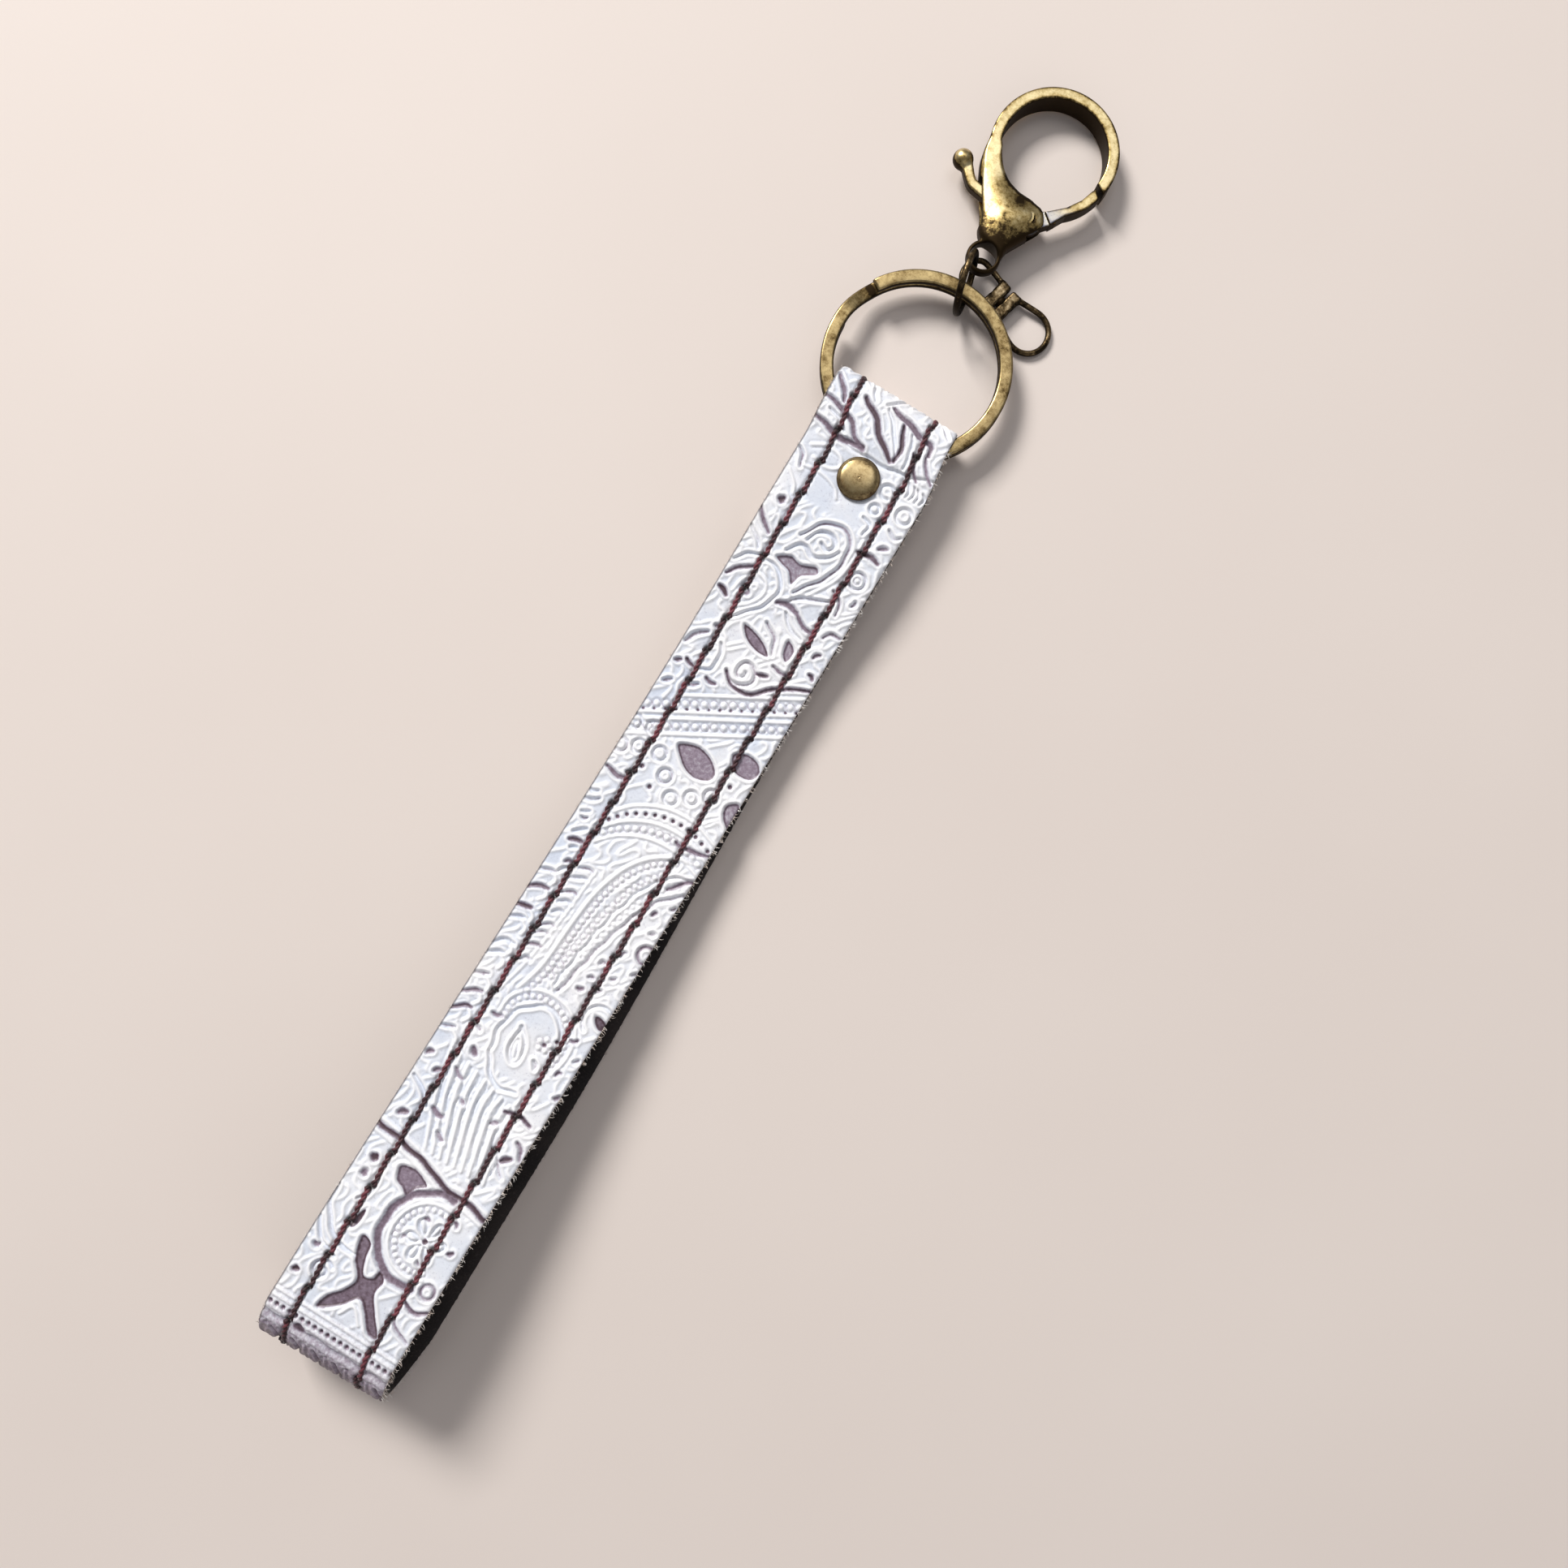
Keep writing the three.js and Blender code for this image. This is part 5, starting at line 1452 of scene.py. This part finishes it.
def clasp_body():
    """The hook, the body and the eye in one, hollowed for the trigger and drilled for its pin."""
    f = Field((-12.9, -4, -3.6), (12.9, 36.2, 3.6), CAST_CELL)
    hook_line = (arc_points(0, HOOK_Y, HOOK_OUTER, 208, -8, 60)
                 + arc_points(0, HOOK_Y, HOOK_INNER, -4, 237, 60)
                 + [(-3.8, 14.1), (-1.2, 13.5), (1.9, 13.6), (3, 12.4), (-5, 9)])
    hook = outline_distance(hook_line, f.x, f.y)
    flat = outline_distance(smooth_line(BODY_OUTLINE, 0.6, True), f.x, f.y)
    # the body swells from its edges to a ridge that runs from the eye to the hook's root
    swell = 1.7 + 1.62 * (1 - np.exp(-np.maximum(-flat, 0) / 3.4))
    ridge_x = np.interp(f.y, [0, 6, 11, 14, 19], [0.0, -0.4, -0.6, -3.6, -9.4])
    crest = np.exp(-((f.x - ridge_x) / 2.6) ** 2)
    top = softened(swell * (0.9 + 0.1 * crest), int(1.6 / CAST_CELL ** 2))
    on_hook = step_between(f.y, 12.0, 19.5)
    half = softened(top + (HOOK_HALF - top) * on_hook, int(0.5 / CAST_CELL ** 2))
    body = slab(f.flat(soft_union(hook, flat, 0.7)), f.z, f.flat(np.minimum(half, BODY_HALF)),
                f.flat(BODY_ROUND + (HOOK_ROUND - BODY_ROUND) * on_hook))
    eye = slab(f.flat(np.hypot(f.x, f.y) - EYE_OUTER), f.z, 1.1, 0.55)
    solid = soft_union(body, eye, 0.7)
    solid = soft_cut(solid, f.flat(np.hypot(f.x, f.y) - EYE_INNER), 0.35)
    pocket = slab(f.flat(outline_distance(POCKET_OUTLINE, f.x, f.y)), f.z, POCKET_HALF, 0.1)
    solid = soft_cut(solid, pocket, 0.12)
    pin = np.maximum(f.flat(np.hypot(f.x - PIVOT[0], f.y - PIVOT[1]) - 0.9), np.abs(f.z) - 2.1)
    solid = np.maximum(solid, -pin)

    def body_painted_shade(points, normal):
        """Painted shade: the slopes that face away from the hook and the part towards the eye are darkened,
        below the body's crown.
        """
        local = moved(points, CLASP_MATRIX.inverted())
        facing = normal[:, 0] * 0.42 - normal[:, 1] * 0.91
        below = 1 - step_between(local[:, 1], 11, 18)
        low = step_between(0.5 * local[:, 0] - local[:, 1], -11.5, -2.5)
        return (1.0 * step_between(facing, -0.02, 0.5) + 0.7 * low) * below

    casting("clasp_casting", f, solid, CLASP_MATRIX, BRASS, "clasp", ["clasp_body"],
            painted_shade_and_patina=body_painted_shade)


def trigger():
    """The ball lever, the hub on the pin and the gate in one, recessed for the spring."""
    f = Field((-16, 6.5, -2.4), (12.9, 24.6, 2.4), CAST_CELL)
    lever_line = [(2.4, 9.1), (2.4, 11.5), (-4, 11.2), (-8.4, 11.2), (-9.6, 11.7), (-11.8, 13.8),
                  (-13, 12.5), (-10.3, 9.8), (-8.4, 9.1), (-4, 8.9)]
    root_line = [(3, 8.3), (5.2, 9.6), (7.6, 12.6), (6.4, 14.6), (2.2, 11.6)]
    gate_line = ([(4.75, 13.1), (7.6, 16.1), (9.2, 18.9), (9.85, 21.4), (10.2, 22.1)]
                 + arc_points(0, HOOK_Y, HOOK_OUTER - 0.1, -12, -46, 16) + [(6.9, 11.6)])
    lever = outline_distance(smooth_line(lever_line, 0.5, True), f.x, f.y)
    lever = slab(f.flat(lever), f.z, LEVER_HALF, 0.5)
    root = slab(f.flat(outline_distance(root_line, f.x, f.y)), f.z, LEVER_HALF, 0.15)
    gate = slab(f.flat(outline_distance(gate_line, f.x, f.y)), f.z, GATE_HALF, 0.28)
    hub = slab(f.flat(np.hypot(f.x - PIVOT[0], f.y - PIVOT[1]) - 2.3), f.z, LEVER_HALF, 0.12)
    knob = np.sqrt(f.flat((f.x - KNOB[0]) ** 2 + (f.y - KNOB[1]) ** 2) + f.z ** 2) - KNOB_RADIUS
    solid = soft_union(lever, knob, 0.5)
    solid = np.minimum(np.minimum(solid, root), np.minimum(gate, hub))
    recess = np.maximum(f.flat(np.hypot(f.x - PIVOT[0], f.y - PIVOT[1]) - 2.5), -0.1 - f.z)
    solid = np.maximum(solid, -recess)
    solid = np.maximum(solid, -f.flat(np.hypot(f.x - PIVOT[0], f.y - PIVOT[1]) - 0.92))

    def gate_painted_reflection(points, normal):
        """Painted reflection: the gate's flat face is made bright and bluish where it leaves the body."""
        local = moved(points, CLASP_MATRIX.inverted())
        flat = step_between(np.abs(normal[:, 2]), 0.8, 0.97)
        near_body = step_between(local[:, 0], 3.5, 4.6) * (1 - step_between(local[:, 1], 12.8, 17))
        return 0.6 * flat * near_body

    casting("trigger_casting", f, solid, CLASP_MATRIX, BRASS, "trigger", ["trigger_lever"],
            gate_painted_reflection)


clasp_body()
trigger()

pin_profile = [(0.02, -2.0), (0.7, -2.0), (0.8, -1.9), (0.8, 1.9), (0.7, 2.0), (0.02, 2.0)]
pin_verts, pin_faces = lathe(pin_profile, 32)
pin_verts = pin_verts + np.array([*PIVOT, 0])
pin_piece = make_object("trigger_pin_turned", place(moved(pin_verts, CLASP_MATRIX)), pin_faces, BRASS)
age(pin_piece, CLASP_MATRIX, 2)
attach(pin_piece, "clasp")
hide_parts("trigger_pin")

SWIVEL_MATRIX = (Matrix.Translation((-4.3, 28.9, 2.25)) @ Matrix.Rotation(math.radians(-15), 4, "Z")
                 @ Matrix.Rotation(math.radians(4.3), 4, "Y"))
UPPER_LENGTH, UPPER_WIDTH, LOWER_LENGTH, LOWER_WIDTH = 9.0, 6.8, 11.3, 9.0
PLATE_WIDTH, PLATE_THICKNESS, BOSS_HEIGHT, PLATE_GAP, WIRE = 6.2, 1.9, 1.9, 1.4, 1.1
PLATE_INTO_GAP = 0.48
BOSS_ROUND = 0.55
RIVET_HOLE = 0.67


def stirrup(name, length, width, crown, base_x, facing, body, node):
    """A wire bow whose feet run into a flat plate with a hole for the swivel's rivet."""
    half, foot = (width - WIRE) / 2, (PLATE_WIDTH - WIRE) / 2
    end = length - WIRE / 2
    side = end - crown
    start = PLATE_THICKNESS / 2
    line = [(start, -foot), (start + 0.75 * (side - start), -(foot + 0.88 * (half - foot)))]
    line += [(side + crown * math.sin(a), -half * math.cos(a)) for a in np.linspace(0, math.pi, 13)]
    line += [(start + 0.75 * (side - start), foot + 0.88 * (half - foot)), (start, foot)]
    line = smooth_line(line, 0.25)
    f = Field((-0.9, -width / 2 - 0.5, -1.7), (length + 0.5, width / 2 + 0.5, 1.7), CAST_CELL * 0.62)
    best = np.full(f.x.shape, 1e9)
    for k in range(1, len(line)):
        (x0, y0), (x1, y1) = line[k - 1], line[k]
        dx, dy = x1 - x0, y1 - y0
        t = np.clip(((f.x - x0) * dx + (f.y - y0) * dy) / (dx * dx + dy * dy + 1e-12), 0, 1)
        best = np.minimum(best, np.hypot(f.x - x0 - t * dx, f.y - y0 - t * dy))
    wire = np.sqrt(f.flat(best) ** 2 + f.z ** 2) - WIRE / 2
    # the plate is a thick flattened boss, rounded in every direction
    reach = PLATE_THICKNESS + PLATE_INTO_GAP
    boss = [f.flat(np.abs(f.x - PLATE_THICKNESS + reach / 2) - reach / 2 + BOSS_ROUND),
            f.flat(np.abs(f.y) - PLATE_WIDTH / 2 + BOSS_ROUND), np.abs(f.z) - BOSS_HEIGHT / 2 + BOSS_ROUND]
    base = np.sqrt(sum(np.maximum(v, 0) ** 2 for v in boss))
    base = base + np.minimum(np.maximum(np.maximum(boss[0], boss[1]), boss[2]), 0) - BOSS_ROUND
    solid = soft_union(wire, base, 0.45)
    hole = np.sqrt(f.flat(f.y ** 2) + f.z ** 2) - RIVET_HOLE
    solid = np.maximum(solid, -np.where(f.flat(f.x) < 2, hole, 1.0))
    matrix = SWIVEL_MATRIX @ Matrix.Translation((base_x, 0, 0))
    if facing < 0:
        matrix = matrix @ Matrix.Rotation(math.pi, 4, "Y")
    casting(name, f, solid, matrix, DARK_BRASS, body, [node])


stirrup("swivel_upper_bow", UPPER_LENGTH, UPPER_WIDTH, 2.3, UPPER_LENGTH, -1, "swivel_upper",
        "swivel_upper_stirrup")
stirrup("swivel_lower_bow", LOWER_LENGTH, LOWER_WIDTH, 4.0, UPPER_LENGTH + PLATE_GAP, 1, "swivel_lower",
        "swivel_lower_stirrup")


def turned_part(name, profile, body, node, material):
    """A profile of (radius, place along the swivel's axis)."""
    verts, faces = lathe(profile, 40)
    verts = np.stack([verts[:, 2], verts[:, 1], -verts[:, 0]], 1)
    obj = make_object(name, place(moved(verts, SWIVEL_MATRIX)), faces, material)
    age(obj, SWIVEL_MATRIX, 3)
    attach(obj, body)
    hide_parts(node)


HEAD_SEAT = 1.12
head_in = UPPER_LENGTH - HEAD_SEAT
head_out = UPPER_LENGTH + PLATE_GAP + HEAD_SEAT
turned_part("swivel_rivet_turned", [
    (0.02, head_in - 0.5), (0.4, head_in - 0.47), (0.75, head_in - 0.34), (0.95, head_in - 0.1),
    (0.95, head_in), (0.55, head_in), (0.55, head_out), (0.95, head_out), (0.95, head_out + 0.1),
    (0.75, head_out + 0.34), (0.4, head_out + 0.47), (0.02, head_out + 0.5)],
    "swivel_upper", "swivel_rivet", DARK_BRASS)
turned_part("swivel_washer_turned", [
    (0.7, UPPER_LENGTH + 0.25), (1.0, UPPER_LENGTH + 0.25), (1.1, UPPER_LENGTH + 0.35),
    (1.1, UPPER_LENGTH + PLATE_GAP - 0.35), (1.0, UPPER_LENGTH + PLATE_GAP - 0.25),
    (0.7, UPPER_LENGTH + PLATE_GAP - 0.25)], "swivel_upper", "swivel_washer", RING_BRASS)

# ---- CAD nodes that stay, with their finishes ----

for node, material in (("rivet_cap_socket", CAP_BRASS), ("rivet_post", CAP_BRASS),
                       ("trigger_spring", STEEL)):
    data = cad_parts[node].data
    data.materials.clear()
    data.materials.append(material)

# ---- Floor and light ----

FLOOR_HALF, FLOOR_Z = 9.0, -0.00002
floor = make_object("floor", np.array([(x * FLOOR_HALF, y * FLOOR_HALF, FLOOR_Z)
                                       for x, y in ((-1, -1), (1, -1), (1, 1), (-1, 1))]),
                    [(0, 1, 2, 3)], pale_floor(), smooth=False)


def area_light(name, azimuth, elevation, distance, size, power, colour):
    """A square light aimed at the object's middle. azimuth 0 is +X, 90 is +Y."""
    a, e = math.radians(azimuth), math.radians(elevation)
    data = bpy.data.lights.new(name, "AREA")
    data.shape, data.size, data.energy, data.color = "SQUARE", size, power, colour
    obj = bpy.data.objects.new(name, data)
    bpy.context.scene.collection.objects.link(obj)
    obj.location = (distance * math.cos(e) * math.cos(a), distance * math.cos(e) * math.sin(a),
                    distance * math.sin(e))
    obj.rotation_euler = Vector(obj.location).to_track_quat("Z", "Y").to_euler()


area_light("key", 150, 38, 2.0, 0.62, 47.0, (1.0, 0.985, 0.96))
area_light("top", 100, 62, 2.0, 1.1, 6.4, (1.0, 0.99, 0.98))
area_light("fill", -40, 34, 2.2, 1.8, 4.0, (1.0, 0.95, 0.92))

world = bpy.data.worlds.new("studio")
bpy.context.scene.world = world
world.use_nodes = True
world.node_tree.nodes["Background"].inputs["Color"].default_value = (0.93, 0.94, 1.0, 1)
world.node_tree.nodes["Background"].inputs["Strength"].default_value = 0.20
bpy.context.scene.view_settings.view_transform = "Standard"
